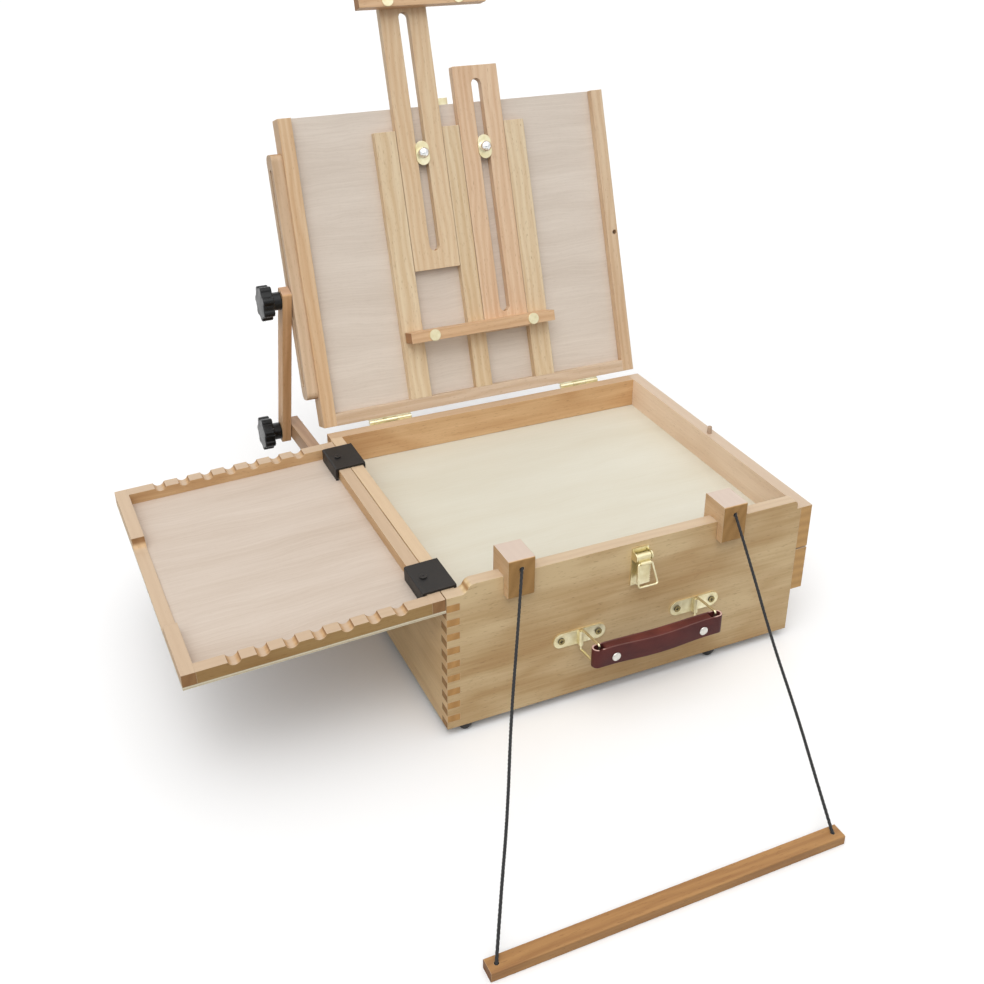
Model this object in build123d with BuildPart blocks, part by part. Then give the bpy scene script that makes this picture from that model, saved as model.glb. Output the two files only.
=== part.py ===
from build123d import *
from math import cos, hypot, radians, sin
import os

# Pochade box: a wooden sketching case with an easel in its lid, a brush tray on its
# left wall, two drawers on the right and a bar that hangs in front on two cords.
# All sizes are millimetres. X runs to the right along the front, Y to the back, Z up.
# The origin is the centre of the underside of the base panel.

os.makedirs("parts", exist_ok=True)

# ---- case ----
case_width = 400.0
case_depth = 344.0
wall_height = 148.0
wall_thickness = 13.0
front_rise = 9.0
rise_start = 14.0
rise_run = 13.5
rise_round = 4.5
board_thickness = 13.6
board_slit = 1.6
joint_fingers = 19
base_thickness = 5.0
foot_diameter = 16.0
foot_height = 10.0
foot_flat = 6.0
foot_swell_in = 0.22
foot_swell_down = 0.7
foot_first = 21.0
foot_second = 294.0
foot_inset = 8.0
fit_gap = 0.3
running_gap = 0.6
cut_over = 1.0

# ---- pull-out panel and drawer ----
compartment_depth = 34.6
tray_panel_thickness = 4.0
tray_groove_depth = 5.0
drawer_side_thickness = 8.0
drawer_bottom_thickness = 3.0
runner_width = 10.0
runner_height = 6.0
peg_diameter = 5.0
peg_height = 8.0
peg_from_back = 170.0
peg_off_centre = 1.0

# ---- side tray ----
tray_width = 234.0
tray_short = 20.0
tray_rail_height = 12.0
tray_floor_thickness = 3.0
tray_rail_width = 12.5
tray_droop = 2.06
tray_gap = 0.9
scallop_count = 7
scallop_pitch = 24.7
scallop_first = 41.0
scallop_radius = 6.0
scallop_depth = 4.0
stub_front = 74.0
stub_back = 226.0
stub_floor = 1.5
clip_width = 46.5
clip_thickness = 2.4
clip_drop_case = 5.0
clip_front_gap = 1.0
clip_back_gap = 4.5
clip_round = 1.9
clip_gap = 1.5
clip_screw_head = 7.0
clip_screw_head_height = 1.6
clip_screw_diameter = 3.0
clip_screw_length = 9.0
clip_screw_recess = 2.4

# ---- lid ----
lid_short_side = 2.0
lid_short_front = 4.0
lid_depth = 24.0
lid_rail_width = 15.0
lid_bottom_rail = 13.5
lid_panel_set_back = 9.5
lid_panel_thickness = 4.0
lid_groove = 5.0
lid_seat_gap = 0.4
lid_open_angle = 109.2
lid_overhang = 1.0
lid_round = 1.5
hinge_out = 4.0
hinge_up = 0.8
hinge_length = 50.0
hinge_spread = 243.0
hinge_centre = 198.0
hinge_barrel_diameter = 5.0
hinge_pin_diameter = 2.4
hinge_leaf_thickness = 1.2
hinge_leaf_height = 17.0
hinge_fit = 0.05
knuckle_gap = 0.15
leaf_web = 1.2
screw_diameter = 2.4
screw_fit = 0.1
screw_length = 7.0
leaf_screw_head = 4.4
leaf_screw_head_height = 0.8

# ---- easel in the lid ----
guide_first = 106.0
guide_width = 25.0
guide_middle_width = 20.3
guide_thickness = 9.6
guide_top = 315.0
slide_channel = 56.6
slide_thickness = 9.6
slide_end_round = 1.0
slot_width = 12.5
left_slide_bottom = 157.0
left_slide_length = 313.0
left_slot_foot = 27.0
left_slot_head = 33.0
right_slide_bottom = 75.0
right_slide_length = 305.0
right_slot_foot = 28.0
right_slot_head = 21.0
slide_bolt_height = 288.0
slide_bolt_diameter = 5.0
bolt_fit = 0.05
bolt_head_diameter = 11.0
bolt_head_height = 2.5
washer_length = 27.0
washer_width = 16.0
washer_thickness = 1.4
dome_diameter = 13.0
dome_collar = 2.5
clamp_first = 104.0
clamp_length = 150.0
clamp_drop = 23.0
clamp_height = 20.0
clamp_depth = 16.0
ledge_length = 180.0
ledge_rise = 3.5
ledge_height = 12.0
ledge_depth = 21.0
ledge_relief = 0.4
disc_diameter = 13.0
disc_thickness = 1.2
disc_inset = 28.0
clamp_disc_first = 33.0

# ---- lid stay ----
batten_thickness = 12.5
batten_width = 22.0
batten_set_back = 4.0
batten_bottom = 33.0
batten_top = 304.0
batten_round = 8.0
batten_slot_width = 8.0
batten_slot_foot = 15.0
batten_slot_head = 16.0
stay_slot_position = 146.8
strut_gap = 0.7
strut_thickness = 10.5
strut_width = 18.0
strut_end = 12.7
strut_round = 3.0
stay_stud_diameter = 6.0
arm_reach_behind = 110.5
arm_pivot_height = 105.2
arm_slope = 3.1
arm_lap = 61.0
arm_height = 18.5
arm_end = 14.0
arm_thickness = 13.3
knob_diameter = 40.0
knob_thickness = 12.5
knob_lobes = 7
knob_lobe_radius = 4.6
knob_hub_diameter = 20.0
knob_hub_length = 10.0
knob_lobe_height = 3.0
knob_bore_depth = 16.0
knob_round = 2.0
knob_edge_round = 1.5
stay_fit = 0.1
stud_head = 2.5
stud_head_diameter = 12.0
arm_round = 2.0
arm_screw_from_back = 21.0
arm_screw_spacing = 28.0
arm_screw_head = 8.0
arm_screw_sink = 3.0
arm_screw_diameter = 4.0
arm_screw_bite = 8.0
slot_nut_length = 14.0
slot_nut_round = 1.0
nut_fit = 0.1

# ---- front fittings ----
block_width = 26.5
block_front_leg = 9.5
block_rear_leg = 10.0
block_height = 40.0
block_slot_depth = 20.0
block_left = 69.3
block_right = 298.3
block_hole_diameter = 5.0
block_hole_drop = 10.5
block_hole_depth = 8.0
block_round = 1.5
block_lift = 0.1
cord_diameter = 3.0
cord_reach_in_block = 4.0
cord_reach_in_bar = 4.0
bar_centre = 91.2
bar_length = 329.5
bar_width = 15.0
bar_thickness = 9.5
bar_forward = 251.5
bar_hole_inset = 7.75
bar_hole_diameter = 4.0
bar_edge_round = 1.0
latch_position = 198.5
latch_plate_width = 18.0
latch_plate_height = 41.0
latch_plate_drop = 6.0
latch_plate_thickness = 1.5
latch_axis_out = 6.0
latch_axis_drop = 7.0
latch_ear_thickness = 1.4
latch_ear_height = 9.0
latch_pin_diameter = 2.4
roller_diameter = 7.0
lever_width = 13.0
lever_length = 29.0
lever_sheet = 1.4
knurl_pitch = 2.4
knurl_size = 1.6
knurl_count = 10
bail_wire = 1.9
bail_barrel_diameter = 4.0
bail_barrel_length = 11.0
bail_barrel_out = 2.2
bail_barrel_drop = 5.0
bail_width = 21.0
bail_reach = 22.0
bail_corner = 1.8
bail_lean_angle = 20.0
chape_spacing = 129.0
chape_centre = 201.2
chape_height = 67.0
chape_length = 56.0
chape_width = 16.0
chape_thickness = 1.5
chape_screw_spacing = 40.0
chape_wall = 1.2
chape_screw_length = 9.0
screw_head_diameter = 7.0
screw_head_height = 1.2
cross_length = 4.0
cross_width = 1.0
ring_wire = 2.4
ring_axis_out = 4.0
ring_reach = 28.0
ring_above_barrel = 2.2
ring_below_barrel = 5.3
ring_over_leather = 4.3
ring_angle = 8.0
ring_fit = 0.08
ring_corner = 1.8
leather_end = 7.2
leather_drop = 3.1
leather_height = 20.5
leather_thickness = 11.0
leather_belly = 0.8
leather_round = 1.5
rivet_diameter = 9.0
rivet_inset = 23.2
rivet_height = 1.2
rivet_out = 1.4
rivet_drop = 1.9
catch_width = 16.0
catch_thickness = 1.2
catch_stand = 8.0
catch_rivet = 2.2
catch_foot = 20.0
catch_lip = 4.2
catch_rivet_drop = 11.2
catch_rivet_spacing = 8.0
catch_aside = 4.0

# ---- places worked out from the sizes ----
left = -case_width / 2
right = case_width / 2
front = -case_depth / 2
back = case_depth / 2
wall_end = right - board_thickness
inner_left = left + wall_thickness
inner_front = front + wall_thickness
inner_back = back - wall_thickness
front_height = wall_height + front_rise
tray_depth = case_depth - tray_short
clip_starts = (tray_rail_width + clip_front_gap, tray_depth - tray_rail_width - clip_back_gap - clip_width)
lid_width = case_width - lid_short_side
lid_length = case_depth - lid_short_front
third = wall_height / 3
tray_floor_top = wall_height - compartment_depth
tray_floor_under = tray_floor_top - tray_panel_thickness
drawer_floor = third + fit_gap
lower_board_top = 2 * third - board_slit / 2
upper_board_bottom = 2 * third + board_slit / 2

# The lid is drawn in its own plane, where it stands open: X along the hinge, Y up the
# lid and Z out of its inner face. Closed, that face lies just above the wall tops.
hinge_y = back + hinge_out
hinge_z = wall_height + hinge_up
open_turn = radians(lid_open_angle)
corner_y = -hinge_out * cos(open_turn) + (lid_seat_gap - hinge_up) * sin(open_turn)
corner_z = hinge_out * sin(open_turn) + (lid_seat_gap - hinge_up) * cos(open_turn)
lid_left = left - lid_overhang
lid_right = lid_left + lid_width
raised_end = lid_right - lid_rail_width - running_gap
lid_plane = Plane(
    origin=(lid_left, hinge_y + corner_y, hinge_z + corner_z),
    x_dir=(1, 0, 0),
    z_dir=(0, -sin(open_turn), -cos(open_turn)),
)
panel_face = -lid_panel_set_back
guide_middle = guide_first + guide_width + slide_channel
guide_last = guide_middle + guide_middle_width + slide_channel
slide_width = slide_channel - 2 * running_gap
left_slide_centre = guide_first + guide_width + slide_channel / 2
right_slide_centre = guide_middle + guide_middle_width + slide_channel / 2
slide_back = panel_face + fit_gap
left_slide_top = left_slide_bottom + left_slide_length
left_slot = (left_slide_bottom + left_slot_foot, left_slide_top - left_slot_head)
right_slide_top = right_slide_bottom + right_slide_length
right_slot = (right_slide_bottom + right_slot_foot, right_slide_top - right_slot_head)
clamp_bottom = left_slide_top - clamp_drop
ledge_bottom = right_slide_bottom + ledge_rise
slide_face = slide_back + slide_thickness

# The side tray hangs on the left wall with its free end a little low.
droop = radians(tray_droop)
side_tray_plane = Plane(
    origin=(left - tray_gap, front, wall_height),
    x_dir=(cos(droop), 0, sin(droop)),
    z_dir=(-sin(droop), 0, cos(droop)),
)

# The stay: an arm beside the case, a strut up from its end, a bolt in the batten's slot.
batten_outer = lid_left - batten_thickness
strut_inner = batten_outer - strut_gap
arm_pivot = Vector(strut_inner, back + arm_reach_behind, arm_pivot_height)
arm_plane = Plane(
    origin=(left, arm_pivot.Y, arm_pivot.Z),
    x_dir=(0, -cos(radians(arm_slope)), sin(radians(arm_slope))),
    z_dir=(-1, 0, 0),
)
arm_length = arm_end + (arm_reach_behind + arm_lap) / cos(radians(arm_slope))
arm_screw_near = (arm_reach_behind + arm_screw_from_back) / cos(radians(arm_slope))
arm_screw_places = [arm_screw_near, arm_screw_near + arm_screw_spacing]
batten_middle = -batten_set_back - batten_width / 2
batten_slot = (batten_bottom + batten_slot_foot, batten_top - batten_slot_head)
slot_point = lid_plane.from_local_coords(Vector(0, stay_slot_position, batten_middle))
strut_length = hypot(slot_point.Y - arm_pivot.Y, slot_point.Z - arm_pivot.Z)


def board(x, y, z, mode=Mode.ADD):
    """A straight board between pairs of coordinates on the part's own axes."""
    with Locations(((x[0] + x[1]) / 2, (y[0] + y[1]) / 2, (z[0] + z[1]) / 2)):
        Box(x[1] - x[0], y[1] - y[0], z[1] - z[0], mode=mode)


def rod(centre, diameter, length, axis="Z", mode=Mode.ADD):
    """A round bar or bore about a centre, along one of the part's own axes."""
    turn = {"X": (0, 90, 0), "Y": (90, 0, 0), "Z": (0, 0, 0)}[axis]
    with Locations(centre):
        Cylinder(diameter / 2, length, rotation=turn, mode=mode)


def save(made, name):
    """Label a finished piece and write its file."""
    made.part.label = name
    export_step(made.part, "parts/" + name + ".step")


hinge_starts = [left + hinge_centre + side * hinge_spread / 2 - hinge_length / 2 for side in (-1, 1)]
knuckle = hinge_length / 3
leaf_screw_places = [knuckle * (n + 0.5) for n in range(3)]
screw_bore = screw_diameter + 2 * screw_fit
chape_places = [left + chape_centre + side * chape_spacing / 2 for side in (-1, 1)]
chape_screw_places = [x + side * chape_screw_spacing / 2 for x in chape_places for side in (-1, 1)]
finger = wall_height / joint_fingers
finger_heights = [finger * (2 * n + 1.5) for n in range(joint_fingers // 2)]

# ================= case =================
# Front wall: its middle rises between the lid's side rails, and its left end is fingered.
with BuildPart() as front_wall:
    with BuildSketch(Plane.XZ.offset(-front)):
        with BuildLine():
            foot_line = Polyline(
                (left + rise_start, wall_height), (left, wall_height), (left, 0), (wall_end, 0),
                (wall_end, wall_height),
            )
            half_run = rise_run / 2
            mid_rise = (left + rise_start + half_run, wall_height + front_rise / 2)
            raised_start = (left + rise_start + rise_run, front_height)
            TangentArc((left + rise_start, wall_height), mid_rise, tangent=(1, 0))
            TangentArc(raised_start, mid_rise, tangent=(-1, 0))
            Polyline(
                raised_start, (raised_end, front_height), (raised_end, wall_height),
                (wall_end, wall_height),
            )
        make_face()
    extrude(amount=-wall_thickness)
    rounded = front_wall.edges().filter_by(Axis.Y).group_by(Axis.Z)[-1].sort_by(Axis.X)[-1]
    fillet(rounded, radius=min(rise_round, front_rise - running_gap))
    for height in finger_heights:
        board((left, inner_left), (front, inner_front), (height - finger / 2, height + finger / 2),
              mode=Mode.SUBTRACT)
    board((inner_left, wall_end), (inner_front - tray_groove_depth, inner_front),
          (tray_floor_under - fit_gap, tray_floor_top + fit_gap), mode=Mode.SUBTRACT)
    for x in chape_screw_places:
        rod((x, front, chape_height), screw_bore, 2 * chape_screw_length, axis="Y", mode=Mode.SUBTRACT)
save(front_wall, "front_wall")

with BuildPart() as back_wall:
    board((left, wall_end), (inner_back, back), (0, wall_height))
    for x in [start + step for start in hinge_starts for step in leaf_screw_places]:
        rod((x, back, wall_height - hinge_leaf_height / 2), screw_bore, 2 * screw_length, axis="Y",
            mode=Mode.SUBTRACT)
    for height in finger_heights:
        board((left, inner_left), (inner_back, back), (height - finger / 2, height + finger / 2),
              mode=Mode.SUBTRACT)
    board((inner_left, wall_end), (inner_back, inner_back + tray_groove_depth),
          (tray_floor_under - fit_gap, tray_floor_top + fit_gap), mode=Mode.SUBTRACT)
save(back_wall, "back_wall")

with BuildPart() as left_wall:
    board((left, inner_left), (inner_front, inner_back), (0, wall_height))
    for height in finger_heights:
        board((left, inner_left), (front, inner_front), (height - finger / 2, height + finger / 2))
        board((left, inner_left), (inner_back, back), (height - finger / 2, height + finger / 2))
    for hole in [arm_plane.from_local_coords(Vector(place, 0, 0)) for place in arm_screw_places]:
        rod(tuple(hole), arm_screw_diameter + 2 * screw_fit, 2 * arm_screw_bite, axis="X",
            mode=Mode.SUBTRACT)
save(left_wall, "left_wall")

with BuildPart() as lower_right_rail:
    board((wall_end - wall_thickness, wall_end), (inner_front, inner_back), (0, third - fit_gap))
save(lower_right_rail, "lower_right_rail")

with BuildPart() as base_panel:
    board((inner_left, wall_end - wall_thickness), (inner_front, inner_back), (0, base_thickness))
save(base_panel, "base_panel")

with BuildPart() as drawer_runners:
    for y in ((inner_front, inner_front + runner_width), (inner_back - runner_width, inner_back)):
        board((inner_left, wall_end - wall_thickness), y, (third - runner_height, third))
save(drawer_runners, "drawer_runners")

# Half-round rubber feet, flat where they stand.
with BuildPart() as rubber_feet:
    for x in (left + foot_first, left + foot_second):
        for y in (front + foot_inset, back - foot_inset):
            with BuildSketch(Plane(origin=(x, y, 0), x_dir=(1, 0, 0), z_dir=(0, -1, 0))) as foot_half:
                with BuildLine():
                    Line((0, 0), (foot_diameter / 2, 0))
                    ThreePointArc(
                        (foot_diameter / 2, 0),
                        (foot_diameter / 2 - foot_height * foot_swell_in, -foot_height * foot_swell_down),
                        (foot_flat / 2, -foot_height),
                    )
                    Polyline((foot_flat / 2, -foot_height), (0, -foot_height), (0, 0))
                make_face()
            revolve(axis=Axis((x, y, 0), (0, 0, 1)))
save(rubber_feet, "rubber_feet")

# ================= pull-out panel and drawer =================
with BuildPart() as pull_out_panel:
    board((inner_left + running_gap, wall_end),
          (inner_front - tray_groove_depth + running_gap, inner_back + tray_groove_depth - running_gap),
          (tray_floor_under, tray_floor_top))
save(pull_out_panel, "pull_out_panel")

peg_place = (wall_end + board_thickness / 2 - peg_off_centre, back - peg_from_back)
with BuildPart() as upper_right_board:
    board((wall_end, right), (front, back), (upper_board_bottom, wall_height))
    rod((*peg_place, wall_height - peg_height / 2), peg_diameter, peg_height, mode=Mode.SUBTRACT)
save(upper_right_board, "upper_right_board")

with BuildPart() as locating_peg:
    rod((*peg_place, wall_height), peg_diameter, 2 * peg_height)
save(locating_peg, "locating_peg")

with BuildPart() as drawer_board:
    board((wall_end, right), (front, back), (third, lower_board_top))
save(drawer_board, "drawer_board")

drawer_front_edge = inner_front + running_gap
drawer_back_edge = inner_back - running_gap
drawer_top = lower_board_top - running_gap
with BuildPart() as drawer_frame:
    for y in ((drawer_front_edge, drawer_front_edge + drawer_side_thickness),
              (drawer_back_edge - drawer_side_thickness, drawer_back_edge)):
        board((inner_left + running_gap, wall_end), y, (drawer_floor, drawer_top))
    board((inner_left + running_gap, inner_left + running_gap + drawer_side_thickness),
          (drawer_front_edge, drawer_back_edge), (drawer_floor, drawer_top))
save(drawer_frame, "drawer_frame")

with BuildPart() as drawer_bottom:
    board((inner_left + running_gap + drawer_side_thickness, wall_end),
          (drawer_front_edge + drawer_side_thickness, drawer_back_edge - drawer_side_thickness),
          (drawer_floor, drawer_floor + drawer_bottom_thickness))
save(drawer_bottom, "drawer_bottom")

# ================= side tray =================
tray_rail_under = -tray_rail_height
tray_under = tray_rail_under - tray_floor_thickness


def scalloped_rail(y):
    """A rail along the tray with round brush rests cut in its top."""
    board((-tray_width + tray_rail_width, -tray_rail_width), y, (tray_rail_under, 0))
    for place in range(scallop_count):
        centre = -scallop_first - place * scallop_pitch
        rod((centre, (y[0] + y[1]) / 2, scallop_radius - scallop_depth), 2 * scallop_radius,
            y[1] - y[0], axis="Y", mode=Mode.SUBTRACT)


with BuildPart(side_tray_plane) as side_tray_scalloped_rails:
    scalloped_rail((0, tray_rail_width))
    scalloped_rail((tray_depth - tray_rail_width, tray_depth))
save(side_tray_scalloped_rails, "side_tray_scalloped_rails")

# The outer rail is cut away in the middle, with hollow ends, so that a hand can reach in.
with BuildPart(side_tray_plane) as side_tray_outer_rail:
    board((-tray_width, -tray_width + tray_rail_width), (0, tray_depth), (tray_rail_under, 0))
    hollow = tray_rail_height - stub_floor
    board((-tray_width, -tray_width + tray_rail_width), (stub_front + hollow, stub_back - hollow),
          (-hollow, 0), mode=Mode.SUBTRACT)
    for y in (stub_front + hollow, stub_back - hollow):
        rod((-tray_width + tray_rail_width / 2, y, 0), 2 * hollow, tray_rail_width, axis="X",
            mode=Mode.SUBTRACT)
save(side_tray_outer_rail, "side_tray_outer_rail")

with BuildPart(side_tray_plane) as side_tray_inner_rail:
    board((-tray_rail_width, 0), (0, tray_depth), (tray_rail_under, 0))
    for y in (clip_starts[0] + clip_width / 2, clip_starts[1] + clip_width / 2):
        rod((-tray_rail_width / 2, y, 0), clip_screw_diameter + 2 * screw_fit,
            2 * clip_screw_length + cut_over, mode=Mode.SUBTRACT)
save(side_tray_inner_rail, "side_tray_inner_rail")

with BuildPart(side_tray_plane) as side_tray_floor:
    board((-tray_width, 0), (0, tray_depth), (tray_under, tray_rail_under))
save(side_tray_floor, "side_tray_floor")

# Black saddle clips, screwed to the tray, hook over the left wall.
clip_outer = -tray_rail_width - clip_gap - clip_thickness
clip_inner = tray_gap + wall_thickness + fit_gap + clip_thickness
with BuildPart(side_tray_plane) as tray_clips:
    for start in clip_starts:
        y = (start, start + clip_width)
        board((clip_outer, clip_inner), y, (fit_gap, fit_gap + clip_thickness))
        board((clip_outer, clip_outer + clip_thickness), y, (fit_gap - tray_rail_height, fit_gap))
        board((clip_inner - clip_thickness, clip_inner), y, (-clip_drop_case, fit_gap))
        rod((-tray_rail_width / 2, (y[0] + y[1]) / 2, clip_thickness / 2),
            clip_screw_diameter + 2 * screw_fit, 2 * clip_thickness, mode=Mode.SUBTRACT)
    long_edges = tray_clips.edges().filter_by(Axis.Y).group_by(Axis.X)[0]
    fillet(long_edges.sort_by(Axis.Z)[-2:], radius=min(clip_round, clip_thickness - fit_gap))
save(tray_clips, "tray_clips")

with BuildPart(side_tray_plane) as clip_screws:
    for start in clip_starts:
        centre = (-tray_rail_width / 2, start + clip_width / 2)
        head = fit_gap + clip_thickness
        rod((*centre, head + clip_screw_head_height / 2), clip_screw_head, clip_screw_head_height)
        rod((*centre, (head - clip_screw_length) / 2), clip_screw_diameter, head + clip_screw_length)
        rod((*centre, head + clip_screw_head_height), clip_screw_recess, clip_screw_head_height,
            mode=Mode.SUBTRACT)
save(clip_screws, "clip_screws")

# ================= lid =================
panel_back = panel_face - lid_panel_thickness
groove = (panel_back - fit_gap / 2, panel_face + fit_gap / 2)

for name, u, groove_u in (
    ("lid_left_rail", (0, lid_rail_width), (lid_rail_width - lid_groove, lid_rail_width)),
    ("lid_right_rail", (lid_width - lid_rail_width, lid_width),
     (lid_width - lid_rail_width, lid_width - lid_rail_width + lid_groove)),
):
    with BuildPart(lid_plane) as lid_side_rail:
        board(u, (0, lid_length), (-lid_depth, 0))
        board(groove_u, (lid_bottom_rail - lid_groove, lid_length), groove, mode=Mode.SUBTRACT)
        if name == "lid_right_rail":
            peg_u = peg_place[0] - lid_left
            rod((peg_u, hinge_y - hinge_out - peg_place[1], 0), peg_diameter + running_gap,
                2 * (peg_height + running_gap), mode=Mode.SUBTRACT)
        outer_face = lid_side_rail.faces().sort_by(Axis.X)[0 if u[0] == 0 else -1]
        up_the_lid = Axis(lid_plane.origin, lid_plane.y_dir)
        fillet(outer_face.edges().filter_by(up_the_lid), radius=lid_round)
    save(lid_side_rail, name)

with BuildPart(lid_plane) as lid_bottom_board:
    board((lid_rail_width, lid_width - lid_rail_width), (0, lid_bottom_rail), (-lid_depth, 0))
    board((lid_rail_width, lid_width - lid_rail_width),
          (lid_bottom_rail - lid_groove, lid_bottom_rail), groove, mode=Mode.SUBTRACT)
    for u in [start - lid_left + step for start in hinge_starts for step in leaf_screw_places]:
        rod((u, 0, -hinge_leaf_height / 2), screw_bore, 2 * screw_length, axis="Y", mode=Mode.SUBTRACT)
save(lid_bottom_board, "lid_bottom_rail")

panel_inset = lid_rail_width - lid_groove + fit_gap / 2
panel_foot = lid_bottom_rail - lid_groove + fit_gap / 2
bolt_places = [(left_slide_centre, slide_bolt_height), (right_slide_centre, slide_bolt_height)]
with BuildPart(lid_plane) as lid_panel:
    board((panel_inset, lid_width - panel_inset), (panel_foot, lid_length), (panel_back, panel_face))
    for u, v in bolt_places:
        rod((u, v, panel_face), slide_bolt_diameter + 2 * bolt_fit, 4 * lid_panel_thickness,
            mode=Mode.SUBTRACT)
save(lid_panel, "lid_panel")

with BuildPart(lid_plane) as guide_battens:
    for u, width in ((guide_first, guide_width), (guide_middle, guide_middle_width),
                     (guide_last, guide_width)):
        board((u, u + width), (lid_bottom_rail, guide_top), (panel_face, panel_face + guide_thickness))
save(guide_battens, "guide_battens")

batten_local = Plane(
    origin=lid_plane.from_local_coords(Vector(0, 0, 0)), x_dir=lid_plane.y_dir, z_dir=(-1, 0, 0))
with BuildPart() as lid_side_batten:
    with BuildSketch(batten_local):
        with Locations(((batten_bottom + batten_top) / 2, -batten_middle)):
            RectangleRounded(batten_top - batten_bottom, batten_width, batten_round)
        with Locations(((batten_slot[0] + batten_slot[1]) / 2, -batten_middle)):
            SlotOverall(batten_slot[1] - batten_slot[0], batten_slot_width, mode=Mode.SUBTRACT)
    extrude(amount=batten_thickness)
save(lid_side_batten, "lid_side_batten")

# Brass hinges: three knuckles each, on the outer faces of the back wall and the lid.
barrel_radius = hinge_barrel_diameter / 2
bore_diameter = hinge_pin_diameter + 2 * hinge_fit

with BuildPart() as case_hinge_leaves:
    for start in hinge_starts:
        board((start, start + hinge_length), (back, back + hinge_leaf_thickness),
              (wall_height - hinge_leaf_height, wall_height - fit_gap))
        for x in ((start, start + knuckle - knuckle_gap),
                  (start + 2 * knuckle + knuckle_gap, start + hinge_length)):
            rod(((x[0] + x[1]) / 2, hinge_y, hinge_z), hinge_barrel_diameter, x[1] - x[0], axis="X")
            board(x, (back, hinge_y), (hinge_z - barrel_radius, hinge_z - barrel_radius + leaf_web))
        rod((start + hinge_length / 2, hinge_y, hinge_z), bore_diameter, hinge_length + 2 * cut_over,
            axis="X", mode=Mode.SUBTRACT)
        for step in leaf_screw_places:
            rod((start + step, back, wall_height - hinge_leaf_height / 2), screw_bore, screw_length,
                axis="Y", mode=Mode.SUBTRACT)
        rod((start + hinge_length / 2, hinge_y, hinge_z), hinge_pin_diameter, hinge_length, axis="X")
save(case_hinge_leaves, "case_hinge_leaves")

axis_v = -hinge_out
axis_w = lid_seat_gap - hinge_up
with BuildPart(lid_plane) as lid_hinge_leaves:
    for start in hinge_starts:
        u = (start - lid_left, start - lid_left + hinge_length)
        board(u, (-hinge_leaf_thickness, 0), (-hinge_leaf_height, -fit_gap))
        middle = (u[0] + knuckle + knuckle_gap, u[1] - knuckle - knuckle_gap)
        rod(((u[0] + u[1]) / 2, axis_v, axis_w), hinge_barrel_diameter, middle[1] - middle[0], axis="X")
        board(middle, (axis_v, 0), (axis_w - barrel_radius, axis_w - barrel_radius + leaf_web))
        rod(((u[0] + u[1]) / 2, axis_v, axis_w), bore_diameter, hinge_length + 2 * cut_over, axis="X",
            mode=Mode.SUBTRACT)
        for step in leaf_screw_places:
            rod((u[0] + step, 0, -hinge_leaf_height / 2), screw_bore, screw_length, axis="Y",
                mode=Mode.SUBTRACT)
save(lid_hinge_leaves, "lid_hinge_leaves")

def leaf_screws(u_starts, face, height, direction):
    """Countersunk screws in a leaf: a low head outside it and a shank into the wood."""
    for start in u_starts:
        for step in leaf_screw_places:
            rod((start + step, face + direction * leaf_screw_head_height / 2, height),
                leaf_screw_head, leaf_screw_head_height, axis="Y")
            rod((start + step, face - direction * screw_length / 2, height), screw_diameter,
                screw_length, axis="Y")


with BuildPart() as case_hinge_screws:
    leaf_screws(hinge_starts, back + hinge_leaf_thickness, wall_height - hinge_leaf_height / 2, 1)
save(case_hinge_screws, "case_hinge_screws")

with BuildPart(lid_plane) as lid_hinge_screws:
    leaf_screws([start - lid_left for start in hinge_starts], -hinge_leaf_thickness,
                -hinge_leaf_height / 2, -1)
save(lid_hinge_screws, "lid_hinge_screws")

# Brass catch on the panel's back, where the front latch takes hold.
catch_u = left + latch_position - catch_width / 2 - catch_aside - lid_left
catch_top = lid_length + catch_stand
with BuildPart(lid_plane) as catch_plate:
    board((catch_u, catch_u + catch_width), (lid_length - catch_foot, catch_top),
          (panel_back - catch_thickness, panel_back))
    board((catch_u, catch_u + catch_width),
          (catch_top - catch_thickness, catch_top),
          (panel_back - catch_lip, panel_back - catch_thickness))
    for side in (-1, 1):
        rivet_u = catch_u + (catch_width + side * catch_rivet_spacing) / 2
        with Locations((rivet_u, lid_length - catch_rivet_drop, panel_back - catch_thickness)):
            Sphere(catch_rivet / 2)
save(catch_plate, "catch_plate")

# ================= easel slides =================


def slotted_slide(centre, bottom, length, slot):
    """A slotted board that runs between two guide battens."""
    with BuildSketch(lid_plane.offset(slide_back)) as face:
        with Locations((centre, bottom + length / 2)):
            RectangleRounded(slide_width, length, slide_end_round)
        with Locations((centre, (slot[0] + slot[1]) / 2)):
            SlotCenterToCenter(slot[1] - slot[0], slot_width, rotation=90, mode=Mode.SUBTRACT)
    extrude(face.sketch, amount=slide_thickness)


with BuildPart() as left_slide:
    slotted_slide(left_slide_centre, left_slide_bottom, left_slide_length, left_slot)
save(left_slide, "left_slide")

with BuildPart() as right_slide:
    slotted_slide(right_slide_centre, right_slide_bottom, right_slide_length, right_slot)
save(right_slide, "right_slide")


def cross_bar(u, v, depth, seat_centre):
    """A bar across the slides, clear of all but the slide that carries it."""
    board(u, v, (slide_face + ledge_relief, slide_face + depth))
    board((seat_centre - slide_width / 2, seat_centre + slide_width / 2), v,
          (slide_face, slide_face + ledge_relief))


clamp_u = (clamp_first, clamp_first + clamp_length)
with BuildPart(lid_plane) as top_clamp_bar:
    cross_bar(clamp_u, (clamp_bottom, clamp_bottom + clamp_height), clamp_depth, left_slide_centre)
save(top_clamp_bar, "top_clamp_bar")

ledge_u = (lid_width / 2 - ledge_length / 2, lid_width / 2 + ledge_length / 2)
with BuildPart(lid_plane) as canvas_ledge:
    cross_bar(ledge_u, (ledge_bottom, ledge_bottom + ledge_height), ledge_depth, right_slide_centre)
save(canvas_ledge, "canvas_ledge")

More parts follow.
